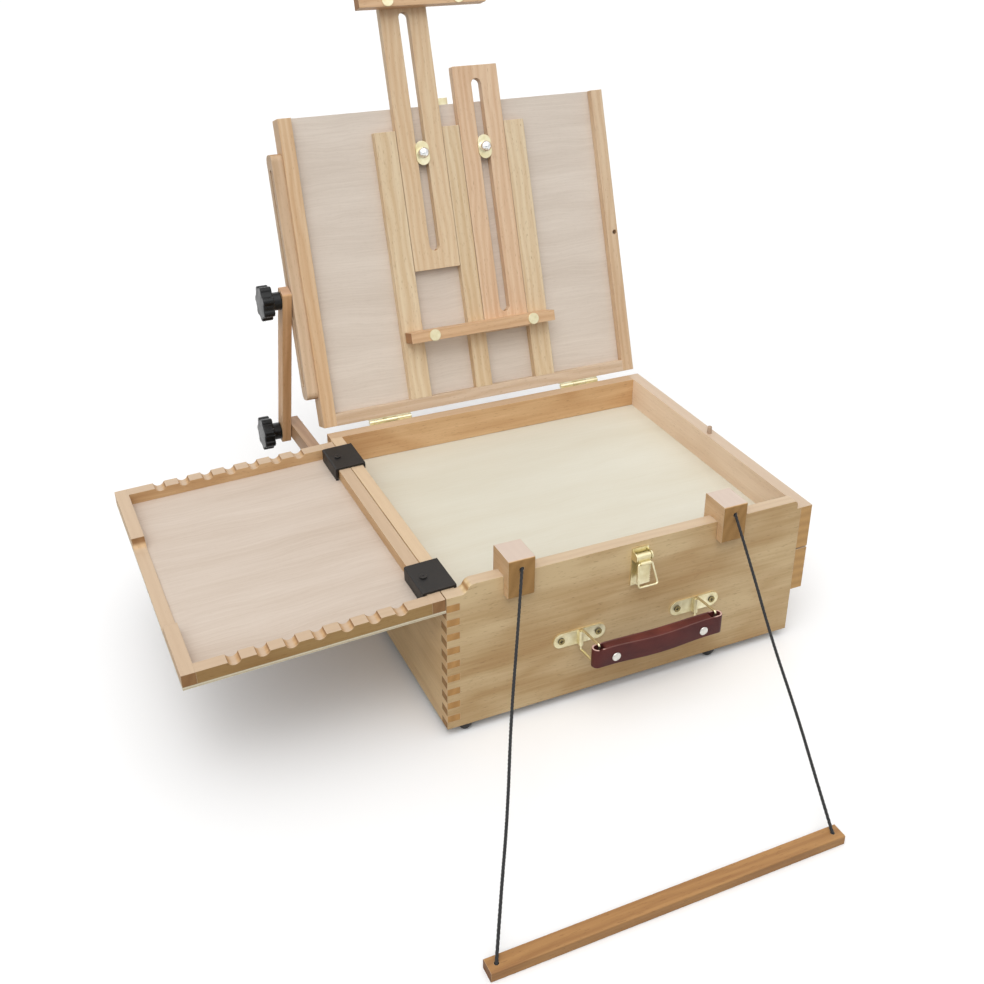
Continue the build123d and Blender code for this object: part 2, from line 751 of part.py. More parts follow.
with BuildPart(lid_plane) as ledge_discs:
    for u in (ledge_u[0] + disc_inset, ledge_u[1] - disc_inset):
        rod((u, ledge_bottom + ledge_height / 2, slide_face + ledge_depth + disc_thickness / 2),
            disc_diameter, disc_thickness)
save(ledge_discs, "ledge_discs")

with BuildPart(lid_plane) as clamp_discs:
    for u in (clamp_u[0] + clamp_disc_first, clamp_u[1] - clamp_disc_first):
        rod((u, clamp_bottom + disc_diameter / 2, slide_face + clamp_depth + disc_thickness / 2),
            disc_diameter, disc_thickness)
save(clamp_discs, "clamp_discs")

# An oval brass washer and a chromed dome nut on a bolt hold each slide to the lid.
washer_face = slide_face + fit_gap + washer_thickness
bolt_end = washer_face + dome_collar - fit_gap
bolt_bore = slide_bolt_diameter + 2 * bolt_fit
with BuildPart(lid_plane) as slide_bolts_and_washers:
    for u, v in bolt_places:
        with BuildSketch(lid_plane.offset(slide_face + fit_gap)) as oval:
            with Locations((u, v)):
                SlotOverall(washer_length, washer_width, rotation=90)
                Circle(bolt_bore / 2, mode=Mode.SUBTRACT)
        extrude(oval.sketch, amount=washer_thickness)
        rod((u, v, (panel_back + bolt_end) / 2), slide_bolt_diameter, bolt_end - panel_back)
        rod((u, v, panel_back - bolt_head_height / 2), bolt_head_diameter, bolt_head_height)
save(slide_bolts_and_washers, "slide_bolts_and_washers")

for (u, v), name in zip(bolt_places, ("left_dome_nut", "right_dome_nut")):
    with BuildPart(lid_plane) as dome_nut:
        rod((u, v, washer_face + dome_collar / 2), dome_diameter, dome_collar)
        with Locations((u, v, washer_face + dome_collar)):
            Sphere(dome_diameter / 2, arc_size1=0, align=(Align.CENTER, Align.CENTER, Align.MIN))
        rod((u, v, washer_face), bolt_bore, 2 * dome_collar, mode=Mode.SUBTRACT)
    save(dome_nut, name)

# ================= lid stay =================
strut_plane = Plane(origin=arm_pivot, x_dir=(0, slot_point.Y - arm_pivot.Y, slot_point.Z - arm_pivot.Z),
                    z_dir=(-1, 0, 0))
stud_bore = stay_stud_diameter + 2 * stay_fit

with BuildPart(arm_plane) as stay_arm:
    with BuildSketch(arm_plane) as arm_side:
        with Locations((arm_length / 2 - arm_end, 0)):
            RectangleRounded(arm_length, arm_height, arm_round)
        Circle(stud_bore / 2, mode=Mode.SUBTRACT)
    extrude(amount=arm_thickness)
    for place in arm_screw_places:
        rod((place, 0, arm_thickness), arm_screw_head + 2 * screw_fit, 2 * arm_screw_sink,
            mode=Mode.SUBTRACT)
        rod((place, 0, 0), arm_screw_diameter + 2 * screw_fit, 2 * arm_thickness, mode=Mode.SUBTRACT)
save(stay_arm, "stay_arm")

with BuildPart(arm_plane) as arm_screws:
    for place in arm_screw_places:
        rod((place, 0, arm_thickness - arm_screw_sink / 2), arm_screw_head, arm_screw_sink)
        rod((place, 0, (arm_thickness - arm_screw_bite) / 2), arm_screw_diameter,
            arm_thickness - arm_screw_sink + arm_screw_bite - fit_gap)
save(arm_screws, "arm_screws")

with BuildPart(strut_plane) as stay_strut:
    with BuildSketch(strut_plane) as strut_side:
        with Locations((strut_length / 2, 0)):
            RectangleRounded(strut_length + 2 * strut_end, strut_width, strut_round)
        with Locations((0, 0), (strut_length, 0)):
            Circle(stud_bore / 2, mode=Mode.SUBTRACT)
    extrude(amount=strut_thickness)
save(stay_strut, "stay_strut")


def star_knob(plane):
    """A lobed grip with a hub on its inner side, bored from there for its stud."""
    hub_start = strut_thickness + running_gap
    grip = hub_start + knob_hub_length
    with BuildSketch(plane.offset(grip)) as star:
        Circle(knob_diameter / 2 - knob_lobe_height)
        with PolarLocations(knob_diameter / 2 - knob_lobe_radius, knob_lobes):
            Circle(knob_lobe_radius)
        fillet(star.vertices(), radius=knob_round)
    extrude(star.sketch, amount=knob_thickness)
    for end in (0, -1):
        fillet(faces().filter_by(Axis.X).sort_by(Axis.X)[end].edges(), radius=knob_edge_round)
    rod((0, 0, hub_start + knob_hub_length / 2), knob_hub_diameter, knob_hub_length)
    rod((0, 0, hub_start), stud_bore, 2 * knob_bore_depth, mode=Mode.SUBTRACT)


def stay_stud(first, head_thickness):
    """A round stud that starts below the strut and ends inside the knob."""
    last = strut_thickness + running_gap + knob_bore_depth - fit_gap
    rod((0, 0, (first + last) / 2), stay_stud_diameter, last - first)
    if head_thickness:
        rod((0, 0, first - head_thickness / 2), stud_head_diameter, head_thickness)


upper_strut_plane = Plane(origin=strut_plane.from_local_coords(Vector(strut_length, 0, 0)),
                          x_dir=strut_plane.x_dir, z_dir=(-1, 0, 0))
with BuildPart(strut_plane) as lower_knob:
    star_knob(strut_plane)
save(lower_knob, "lower_knob")

with BuildPart(upper_strut_plane) as upper_knob:
    star_knob(upper_strut_plane)
save(upper_knob, "upper_knob")

with BuildPart(strut_plane) as lower_stud:
    stay_stud(strut_inner - left, stud_head)
save(lower_stud, "lower_stud")

with BuildPart(upper_strut_plane) as upper_stud:
    stay_stud(fit_gap - strut_gap, 0)
save(upper_stud, "upper_stud")

# The nut that the upper stud is tightened on slides in the batten's slot.
with BuildPart() as slot_nut:
    with BuildSketch(Plane(origin=(batten_outer + fit_gap, slot_point.Y, slot_point.Z),
                           x_dir=lid_plane.y_dir, z_dir=(1, 0, 0))):
        RectangleRounded(slot_nut_length, batten_slot_width - 2 * nut_fit, slot_nut_round)
        Circle(stay_stud_diameter / 2 - nut_fit, mode=Mode.SUBTRACT)
    extrude(amount=batten_thickness - 2 * fit_gap)
save(slot_nut, "slot_nut")

# ================= hanger: two saddle blocks, two cords and a bar =================
# The blocks straddle the raised front wall, and the bar lies in front at foot level.
ground = -foot_height
block_top = front_height + block_height - block_slot_depth
block_front = front - block_front_leg
block_back = front + wall_thickness + block_rear_leg
cord_heights = block_top - block_hole_drop
block_centres = (left + block_left, left + block_right)
bar_y = front - bar_forward
bar_top = ground + bar_thickness
bar_hole_spacing = bar_length - 2 * bar_hole_inset
bar_holes = [left + bar_centre + side * bar_hole_spacing / 2 for side in (-1, 1)]

with BuildPart() as saddle_blocks:
    for x in block_centres:
        board((x - block_width / 2, x + block_width / 2), (block_front, block_back),
              (block_top - block_height, block_top))
    fillet(saddle_blocks.edges().filter_by(Axis.X), radius=block_round)
    board((left, right), (front - fit_gap, inner_front + fit_gap),
          (block_top - block_height, front_height + block_lift), mode=Mode.SUBTRACT)
    for x in block_centres:
        rod((x, block_front, cord_heights), block_hole_diameter, 2 * block_hole_depth, axis="Y",
            mode=Mode.SUBTRACT)
save(saddle_blocks, "saddle_blocks")

with BuildPart() as hanging_bar:
    board((left + bar_centre - bar_length / 2, left + bar_centre + bar_length / 2),
          (bar_y - bar_width / 2, bar_y + bar_width / 2), (ground, bar_top))
    fillet(hanging_bar.edges().filter_by(Axis.X), radius=bar_edge_round)
    for x in bar_holes:
        rod((x, bar_y, (ground + bar_top) / 2), bar_hole_diameter, 2 * bar_thickness,
            mode=Mode.SUBTRACT)
save(hanging_bar, "hanging_bar")


def tight_cord(block_x, hole_x, name):
    """A cord pulled straight, its two ends lying just inside the block's and the bar's holes."""
    upper = Vector(block_x, block_front, cord_heights)
    lower = Vector(hole_x, bar_y, bar_top)
    along = (lower - upper).normalized()
    first = upper - along * cord_reach_in_block
    last = lower + along * cord_reach_in_bar
    with BuildPart() as cord:
        with BuildSketch(Plane(origin=first, z_dir=along)) as section:
            Circle(cord_diameter / 2)
        extrude(section.sketch, amount=(last - first).length)
    print(name, "is one straight run of", round((last - first).length, 1), "mm, with no bend")
    save(cord, name)


tight_cord(block_centres[0], bar_holes[0], "left_cord")
tight_cord(block_centres[1], bar_holes[1], "right_cord")

# ================= front latch =================
# A base plate with two ears, a lever that turns between them and a wire bail on the lever.
latch_x = left + latch_position
latch_plate_bottom = front_height - latch_plate_drop - latch_plate_height
latch_front = front - latch_plate_thickness
latch_z = latch_plate_bottom + latch_plate_height - latch_axis_drop
latch_y = front - latch_axis_out
ear_inner = latch_plate_width / 2 - latch_ear_thickness
with BuildPart() as latch_plate:
    board((latch_x - latch_plate_width / 2, latch_x + latch_plate_width / 2), (latch_front, front),
          (latch_plate_bottom, latch_plate_bottom + latch_plate_height))
    for side in (-1, 1):
        middle = latch_x + side * (latch_plate_width - latch_ear_thickness) / 2
        x = (middle - latch_ear_thickness / 2, middle + latch_ear_thickness / 2)
        board(x, (latch_y, latch_front), (latch_z - latch_ear_height / 2, latch_z + latch_ear_height / 2))
        rod((middle, latch_y, latch_z), latch_ear_height, latch_ear_thickness, axis="X")
    rod((latch_x, latch_y, latch_z), latch_pin_diameter, latch_plate_width, axis="X")
save(latch_plate, "latch_plate")

bail_y = latch_y - roller_diameter / 2 + lever_sheet / 2 - bail_barrel_out
bail_z = latch_z - bail_barrel_drop
with BuildPart() as latch_lever:
    rod((latch_x, latch_y, latch_z), roller_diameter, 2 * (ear_inner - fit_gap), axis="X")
    board((latch_x - lever_width / 2, latch_x + lever_width / 2),
          (latch_y - roller_diameter / 2, latch_y - roller_diameter / 2 + lever_sheet),
          (latch_z - lever_length, latch_z))
    for height in [latch_z - lever_length + knurl_pitch * (n + 0.5) for n in range(knurl_count)]:
        for side in (-1, 1):
            rod((latch_x + side * lever_width / 2, latch_y - roller_diameter / 2 + lever_sheet / 2, height),
                knurl_size, lever_sheet, axis="Y")
    rod((latch_x, bail_y, bail_z), bail_barrel_diameter, bail_barrel_length, axis="X")
    board((latch_x - bail_barrel_length / 2, latch_x + bail_barrel_length / 2),
          (bail_y, latch_y - roller_diameter / 2), (bail_z - bail_barrel_diameter / 2, bail_z))
    rod((latch_x, bail_y, bail_z), bail_wire + 2 * hinge_fit, bail_barrel_length, axis="X",
        mode=Mode.SUBTRACT)
    rod((latch_x, latch_y, latch_z), latch_pin_diameter + 2 * hinge_fit, latch_plate_width, axis="X",
        mode=Mode.SUBTRACT)
save(latch_lever, "latch_lever")


def wire_ring(plane, near, far, reach, corner, diameter):
    """A closed four-sided wire: its near side on the plane's X axis, its far one at the reach."""
    with BuildLine(plane) as path:
        FilletPolyline((near[1], 0), (far[1], reach), (far[0], reach), (near[0], 0), radius=corner,
                       close=True)
    with BuildSketch(Plane(origin=path.line @ 0, z_dir=path.line % 0)) as section:
        Circle(diameter / 2)
    sweep(section.sketch, path=path.line)


bail_lean = radians(bail_lean_angle)
bail_top = bail_barrel_length / 2 + bail_wire
bail_plane = Plane(origin=(latch_x, bail_y, bail_z), x_dir=(1, 0, 0),
                   z_dir=(0, -cos(bail_lean), sin(bail_lean)))
with BuildPart() as latch_bail:
    wire_ring(bail_plane, (-bail_top, bail_top), (-bail_width / 2, bail_width / 2), -bail_reach,
              bail_corner, bail_wire)
save(latch_bail, "latch_bail")

# ================= carrying handle =================
ring_axis_y = front - ring_axis_out
chape_barrel = ring_wire + 2 * (ring_fit + chape_wall)
with BuildPart() as handle_chapes:
    for x in chape_places:
        with BuildSketch(Plane(origin=(x, front, chape_height), x_dir=(1, 0, 0), z_dir=(0, -1, 0))) as plate:
            SlotOverall(chape_length, chape_width)
            with Locations((-chape_screw_spacing / 2, 0), (chape_screw_spacing / 2, 0)):
                Circle(screw_bore / 2, mode=Mode.SUBTRACT)
        extrude(plate.sketch, amount=chape_thickness)
        rod((x, ring_axis_y, chape_height), chape_barrel, chape_width)
        board((x - chape_barrel / 2, x + chape_barrel / 2), (ring_axis_y, front - chape_thickness),
              (chape_height - chape_width / 2, chape_height + chape_width / 2))
        rod((x, ring_axis_y, chape_height), ring_wire + 2 * ring_fit, chape_width, mode=Mode.SUBTRACT)
save(handle_chapes, "handle_chapes")

with BuildPart() as chape_screws:
    for x in chape_screw_places:
        face = front - chape_thickness
        rod((x, face + chape_screw_length / 2, chape_height), screw_diameter, chape_screw_length,
            axis="Y")
        rod((x, face - screw_head_height / 2, chape_height), screw_head_diameter, screw_head_height,
            axis="Y")
        for slot in ((cross_length, cross_width), (cross_width, cross_length)):
            with Locations((x, face - screw_head_height, chape_height)):
                Box(slot[0], screw_head_height, slot[1], mode=Mode.SUBTRACT)
save(chape_screws, "chape_screws")

# The rings' outer sides hang lower than the plates, and carry the leather there.
ring_turn = radians(ring_angle)
ring_step = Vector(ring_reach * sin(ring_turn), -ring_reach * cos(ring_turn), 0)
ring_near = (-chape_width / 2 - ring_below_barrel, chape_width / 2 + ring_above_barrel)
ring_half = (leather_height + ring_over_leather) / 2
ring_far = (-leather_drop - ring_half, ring_half - leather_drop)
for place, name in zip(chape_places, ("left_ring", "right_ring")):
    ring_plane = Plane(origin=(place, ring_axis_y, chape_height), x_dir=(0, 0, 1),
                       z_dir=Vector(0, 0, 1).cross(ring_step))
    with BuildPart() as handle_ring:
        wire_ring(ring_plane, ring_near, ring_far, ring_reach, ring_corner, ring_wire)
    save(handle_ring, name)

# The leather is stitched round the rings' outer sides, and a little fuller in its middle.
leather_centre = Vector(left + chape_centre, ring_axis_y, chape_height - leather_drop) + ring_step
leather_length = chape_spacing + 2 * leather_end
with BuildPart() as leather_handle:
    with BuildSketch(Plane(origin=leather_centre - Vector(0, 0, leather_height / 2))) as plan:
        SlotOverall(leather_length, leather_thickness)
        with BuildLine():
            end = (leather_length - leather_thickness) / 2
            ThreePointArc((-end, leather_thickness / 2), (0, leather_thickness / 2 + leather_belly),
                          (end, leather_thickness / 2))
            Line((end, leather_thickness / 2), (end, -leather_thickness / 2))
            ThreePointArc((end, -leather_thickness / 2), (0, -leather_thickness / 2 - leather_belly),
                          (-end, -leather_thickness / 2))
            Line((-end, -leather_thickness / 2), (-end, leather_thickness / 2))
        make_face()
    extrude(plan.sketch, amount=leather_height)
    for end in (0, -1):
        fillet(leather_handle.faces().filter_by(Axis.Z).sort_by(Axis.Z)[end].edges(), radius=leather_round)
    for x in (-chape_spacing / 2, chape_spacing / 2):
        rod(tuple(leather_centre + Vector(x, 0, 0)), ring_wire + 2 * ring_fit, 2 * leather_height,
            mode=Mode.SUBTRACT)
save(leather_handle, "leather_handle")

with BuildPart() as handle_rivets:
    for x in (-leather_length / 2 + rivet_inset, leather_length / 2 - rivet_inset):
        rod((leather_centre.X + x, leather_centre.Y - leather_thickness / 2 - rivet_out,
             leather_centre.Z - rivet_drop), rivet_diameter, rivet_height, axis="Y")
save(handle_rivets, "handle_rivets")
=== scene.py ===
from math import cos, pi, radians, sin

import bpy
from mathutils import Matrix, Vector


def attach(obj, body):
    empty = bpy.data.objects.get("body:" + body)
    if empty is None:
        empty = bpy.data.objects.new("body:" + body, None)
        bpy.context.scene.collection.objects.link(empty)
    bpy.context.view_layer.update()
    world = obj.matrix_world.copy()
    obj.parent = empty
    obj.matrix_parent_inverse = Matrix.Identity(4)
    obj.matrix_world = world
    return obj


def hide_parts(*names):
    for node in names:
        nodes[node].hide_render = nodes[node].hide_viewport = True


# Pochade box, dressed for the picture. Metres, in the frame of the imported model.
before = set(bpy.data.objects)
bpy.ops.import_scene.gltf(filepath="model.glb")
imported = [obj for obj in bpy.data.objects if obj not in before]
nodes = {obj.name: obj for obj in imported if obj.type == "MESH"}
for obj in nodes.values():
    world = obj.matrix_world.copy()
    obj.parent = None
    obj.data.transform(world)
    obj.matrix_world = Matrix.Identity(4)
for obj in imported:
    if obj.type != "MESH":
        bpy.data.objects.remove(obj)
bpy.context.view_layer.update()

# ---------------------------------------------------------------- camera
RIGHT = (0.9070026, -0.4209953, 0.0104524)
UP = (0.1760686, 0.4016396, 0.8987132)
BACKWARD = (-0.3825522, -0.8132949, 0.4384122)
EYE = (-0.54217, -1.00412, 0.78485)

camera_data = bpy.data.cameras.new("camera")
camera_data.sensor_width = 36
camera_data.lens = 44.94
camera_data.shift_x = -0.0072
camera_data.shift_y = -0.0953
camera_data.clip_end = 50
camera = bpy.data.objects.new("camera", camera_data)
bpy.context.collection.objects.link(camera)
turn = Matrix((RIGHT, UP, BACKWARD)).transposed().to_4x4()
camera.matrix_world = Matrix.Translation(EYE) @ turn
bpy.context.scene.camera = camera


# ---------------------------------------------------------------- small helpers
def paint(r, g, b):
    """A colour as a screen shows it, 0 to 255, made linear."""
    def linear(value):
        value /= 255
        return value / 12.92 if value <= 0.04045 else ((value + 0.055) / 1.055) ** 2.4
    return (linear(r), linear(g), linear(b), 1.0)


def add(tree, kind, settings=(), inputs=()):
    """A shader node with its settings, and its inputs set or linked."""
    made = tree.nodes.new("ShaderNode" + kind)
    for name, value in dict(settings).items():
        setattr(made, name, value)
    for name, value in dict(inputs).items():
        socket = made.inputs[name]
        if isinstance(value, bpy.types.NodeSocket):
            tree.links.new(value, socket)
        else:
            socket.default_value = value
    return made


def math(tree, operation, a, b=0.0, clamp=False):
    return add(tree, "Math", {"operation": operation, "use_clamp": clamp}, {0: a, 1: b}).outputs[0]


def stretched(tree, vector, scale):
    """Coordinates with each direction multiplied by its own number."""
    return add(tree, "VectorMath", {"operation": "MULTIPLY"}, {0: vector, 1: scale}).outputs[0]


def noise(tree, vector, detail=2.0, rough=0.5):
    return add(tree, "TexNoise", {}, {"Vector": vector, "Scale": 1.0, "Detail": detail,
                                      "Roughness": rough}).outputs["Fac"]


def mapped(tree, value, low, high, to_low=0.0, to_high=1.0):
    return add(tree, "MapRange", {}, {"Value": value, "From Min": low, "From Max": high,
                                      "To Min": to_low, "To Max": to_high}).outputs[0]


def mixed(tree, share, a, b, blend="MIX"):
    made = add(tree, "Mix", {"data_type": "RGBA", "blend_type": blend}, {"Factor": share})
    for socket, value in ((made.inputs[6], a), (made.inputs[7], b)):
        if isinstance(value, bpy.types.NodeSocket):
            tree.links.new(value, socket)
        else:
            socket.default_value = value
    return made.outputs[2]


def group(name, inputs, outputs):
    """An empty node group with named sockets."""
    tree = bpy.data.node_groups.new(name, "ShaderNodeTree")
    kinds = {"value": "NodeSocketFloat", "vector": "NodeSocketVector", "colour": "NodeSocketColor"}
    for label, kind in inputs:
        tree.interface.new_socket(label, in_out="INPUT", socket_type=kinds[kind])
    for label, kind in outputs:
        tree.interface.new_socket(label, in_out="OUTPUT", socket_type=kinds[kind])
    start = tree.nodes.new("NodeGroupInput")
    end = tree.nodes.new("NodeGroupOutput")
    return tree, start.outputs, end.inputs


def use(tree, shared, inputs):
    """A shared group placed in a material with its own values."""
    placed = tree.nodes.new("ShaderNodeGroup")
    placed.node_tree = shared
    for name, value in inputs.items():
        if isinstance(value, bpy.types.NodeSocket):
            tree.links.new(value, placed.inputs[name])
        else:
            placed.inputs[name].default_value = value
    return placed.outputs


# ---------------------------------------------------------------- shared effects
def make_soft_edge():
    """Edges eased by a small radius, and a mask of where they are."""
    tree, given, out = group("soft edge", [("Radius", "value")], [("Normal", "vector"), ("Edge", "value")])
    bevel = add(tree, "Bevel", {"samples": 6}, {"Radius": given["Radius"]})
    true_normal = add(tree, "NewGeometry").outputs["Normal"]
    same = add(tree, "VectorMath", {"operation": "DOT_PRODUCT"},
               {0: bevel.outputs[0], 1: true_normal}).outputs["Value"]
    tree.links.new(bevel.outputs[0], out["Normal"])
    tree.links.new(mapped(tree, same, 0.995, 0.86), out["Edge"])
    return tree


def make_plank_grain():
    """Sawn beech: broad tone, growth bands, fine streaks, short flecks and darker end grain.
    The vector's X runs along the grain."""
    tree, given, out = group(
        "plank grain",
        [("Vector", "vector"), ("Normal", "vector"), ("Light", "colour"), ("Dark", "colour"),
         ("End", "colour"), ("Bands", "value"), ("Streaks", "value"), ("Flecks", "value")],
        [("Color", "colour"), ("Roughness", "value"), ("Height", "value")])
    place = given["Vector"]
    tone = noise(tree, stretched(tree, place, (2.6, 24, 24)), 3)
    bend = noise(tree, stretched(tree, place, (5.5, 17, 17)), 2)
    bend_y = math(tree, "MULTIPLY", math(tree, "SUBTRACT", bend, 0.5), 0.034)
    shifted = add(tree, "VectorMath", {"operation": "ADD"}, {
        0: place, 1: add(tree, "CombineXYZ", {}, {"Y": bend_y}).outputs[0]}).outputs[0]
    bands = add(tree, "TexWave", {"wave_type": "BANDS", "bands_direction": "Y", "wave_profile": "SIN"},
                {"Vector": shifted, "Scale": 38.0, "Distortion": 0.6, "Detail": 2.0}).outputs["Fac"]
    streaks = noise(tree, stretched(tree, place, (9, 420, 420)), 4, 0.6)
    fine = noise(tree, stretched(tree, place, (30, 1500, 1500)), 2)
    fleck = noise(tree, stretched(tree, place, (150, 1300, 1300)), 1)
    fleck_mask = mapped(tree, fleck, 0.66, 0.74)

    def centred(value, weight):
        return math(tree, "MULTIPLY", math(tree, "SUBTRACT", value, 0.5), weight)

    total = math(tree, "ADD", 0.42, centred(tone, 1.5))
    total = math(tree, "ADD", total, centred(bands, given["Bands"]))
    total = math(tree, "ADD", total, centred(streaks, given["Streaks"]))
    total = math(tree, "ADD", total, centred(fine, 0.25), clamp=True)
    face = mixed(tree, total, given["Light"], given["Dark"])
    fleck_share = math(tree, "MULTIPLY", fleck_mask, given["Flecks"])
    face = mixed(tree, fleck_share, face, mixed(tree, 1.0, given["Dark"], (0.62, 0.55, 0.5, 1), "MULTIPLY"))
    rings = add(tree, "TexWave", {"wave_type": "RINGS", "rings_direction": "X"},
                {"Vector": shifted, "Scale": 30.0, "Distortion": 1.5, "Detail": 2.0}).outputs["Fac"]
    pores = noise(tree, stretched(tree, place, (300, 1100, 1100)), 2)
    end_tone = math(tree, "ADD", math(tree, "MULTIPLY", rings, 0.35), math(tree, "MULTIPLY", pores, 0.6))
    end_face = mixed(tree, end_tone, given["End"], mixed(tree, 1.0, given["End"], (0.66, 0.6, 0.54, 1), "MULTIPLY"))
    along = add(tree, "SeparateXYZ", {}, {0: given["Normal"]}).outputs[0]
    end_mask = mapped(tree, math(tree, "ABSOLUTE", along), 0.72, 0.9)
    tree.links.new(mixed(tree, end_mask, face, end_face), out["Color"])
    rough = math(tree, "ADD", 0.44, math(tree, "MULTIPLY", streaks, 0.14))
    tree.links.new(math(tree, "ADD", rough, math(tree, "MULTIPLY", end_mask, 0.15)), out["Roughness"])
    height = math(tree, "ADD", math(tree, "MULTIPLY", streaks, 0.6), math(tree, "MULTIPLY", fine, 0.4))
    tree.links.new(math(tree, "SUBTRACT", height, math(tree, "MULTIPLY", fleck_mask, 0.5)), out["Height"])
    return tree


def make_veneer_grain():
    """Rotary-cut plywood face: fine wavy lines, pores and soft pale and dark clouds."""
    tree, given, out = group(
        "veneer grain",
        [("Vector", "vector"), ("Normal", "vector"), ("Light", "colour"), ("Dark", "colour"),
         ("Lines", "value"), ("Clouds", "value")],
        [("Color", "colour"), ("Roughness", "value"), ("Height", "value")])
    place = given["Vector"]
    bend = noise(tree, stretched(tree, place, (7, 12, 12)), 3)
    small_bend = noise(tree, stretched(tree, place, (28, 60, 60)), 2)
    bend_y = math(tree, "ADD", math(tree, "MULTIPLY", bend, 0.024), math(tree, "MULTIPLY", small_bend, 0.0035))
    shifted = add(tree, "VectorMath", {"operation": "ADD"}, {
        0: place, 1: add(tree, "CombineXYZ", {}, {"Y": bend_y}).outputs[0]}).outputs[0]
    clouds = noise(tree, stretched(tree, shifted, (5, 30, 30)), 3)
    lines = noise(tree, stretched(tree, shifted, (16, 520, 520)), 4, 0.65)
    pores = noise(tree, stretched(tree, shifted, (170, 1900, 1900)), 1)
    pore_mask = mapped(tree, pores, 0.58, 0.72)
    total = math(tree, "ADD", 0.45, math(tree, "MULTIPLY", math(tree, "SUBTRACT", clouds, 0.5), given["Clouds"]))
    total = math(tree, "ADD", total, math(tree, "MULTIPLY", math(tree, "SUBTRACT", lines, 0.5), given["Lines"]))
    total = math(tree, "ADD", total, math(tree, "MULTIPLY", pore_mask, math(tree, "MULTIPLY", given["Lines"], 0.22)),
                 clamp=True)
    face = mixed(tree, total, given["Light"], given["Dark"])
    height = add(tree, "SeparateXYZ", {}, {0: place}).outputs[2]
    ply = math(tree, "SINE", math(tree, "MULTIPLY", height, 2 * pi / 0.0021))
    cut = noise(tree, stretched(tree, place, (900, 900, 300)), 2)
    edge_tone = math(tree, "ADD", mapped(tree, ply, -0.3, 0.5, 0.0, 0.45), math(tree, "MULTIPLY", cut, 0.35))
    edge = mixed(tree, edge_tone, paint(236, 230, 204), paint(176, 146, 108))
    facing = add(tree, "SeparateXYZ", {}, {0: given["Normal"]}).outputs[2]
    on_edge = mapped(tree, math(tree, "ABSOLUTE", facing), 0.7, 0.5)
    tree.links.new(mixed(tree, on_edge, face, edge), out["Color"])
    tree.links.new(math(tree, "ADD", 0.5, math(tree, "MULTIPLY", lines, 0.15)), out["Roughness"])
    tree.links.new(math(tree, "SUBTRACT", lines, math(tree, "MULTIPLY", pore_mask, 0.6)), out["Height"])
    return tree


def make_metal_wear():
    """Fine scratches, dull patches and a slightly uneven plated colour."""
    tree, given, out = group(
        "metal wear", [("Vector", "vector"), ("Plate", "colour"), ("Dull", "colour"), ("Polish", "value")],
        [("Color", "colour"), ("Roughness", "value"), ("Height", "value")])
    place = given["Vector"]
    patches = noise(tree, stretched(tree, place, (90, 90, 90)), 4, 0.6)
    scratches = noise(tree, stretched(tree, place, (400, 2600, 900)), 2)
    share = mapped(tree, patches, 0.35, 0.75)
    tree.links.new(mixed(tree, share, given["Plate"], given["Dull"]), out["Color"])
    rough = math(tree, "ADD", given["Polish"], math(tree, "MULTIPLY", share, 0.14))
    tree.links.new(math(tree, "ADD", rough, math(tree, "MULTIPLY", scratches, 0.08)), out["Roughness"])
    tree.links.new(math(tree, "ADD", patches, math(tree, "MULTIPLY", scratches, 0.5)), out["Height"])
    return tree


def make_moulded_grain():
    """The fine spark-eroded texture of moulded plastic, rubber and painted metal."""
    tree, given, out = group(
        "moulded grain", [("Vector", "vector"), ("Base", "colour"), ("Dust", "colour"), ("Gloss", "value")],
        [("Color", "colour"), ("Roughness", "value"), ("Height", "value")])
    place = given["Vector"]
    pebbles = noise(tree, stretched(tree, place, (2200, 2200, 2200)), 2)
    cloud = noise(tree, stretched(tree, place, (60, 60, 60)), 3)
    share = mapped(tree, cloud, 0.45, 0.8)
    tree.links.new(mixed(tree, share, given["Base"], given["Dust"]), out["Color"])
    rough = math(tree, "ADD", given["Gloss"], math(tree, "MULTIPLY", share, 0.18))
    tree.links.new(math(tree, "ADD", rough, math(tree, "MULTIPLY", pebbles, 0.12)), out["Roughness"])
    tree.links.new(pebbles, out["Height"])
    return tree


soft_edge = make_soft_edge()
plank_grain = make_plank_grain()
veneer_grain = make_veneer_grain()
metal_wear = make_metal_wear()
moulded_grain = make_moulded_grain()


# ---------------------------------------------------------------- finishes
def new_material(name):
    material = bpy.data.materials.new(name)
    material.use_nodes = True
    tree = material.node_tree
    tree.nodes.clear()
    surface = add(tree, "BsdfPrincipled")
    output = add(tree, "OutputMaterial")
    tree.links.new(surface.outputs[0], output.inputs[0])
    return material, tree, surface


def finish(tree, surface, colour, rough, height, edge_radius, bump, edge_colour=None, edge_share=0.5):
    """Colour, roughness and relief on eased edges, with the edge mask lightening the colour."""
    eased = use(tree, soft_edge, {"Radius": edge_radius})
    if edge_colour is not None:
        share = math(tree, "MULTIPLY", eased["Edge"], edge_share)
        colour = mixed(tree, share, colour, edge_colour)
    relief = add(tree, "Bump", {}, {"Strength": 1.0, "Distance": bump, "Height": height,
                                    "Normal": eased["Normal"]}).outputs[0]
    for name, value in (("Base Color", colour), ("Roughness", rough), ("Normal", relief)):
        tree.links.new(value, surface.inputs[name])


ALONG_X = (0, 0, 0)
ALONG_Y = (0, 0, -90)
ALONG_Z = (0, 90, 0)
TRAY_ACROSS = (0, 2.06, 0)
LID_ACROSS = (-70.8, 0, 0)
LID_UP = (-70.8, 0, -90)
STRUT_UP = (-103.4, 0, -90)
ARM_ALONG = (-176.9, 0, -90)


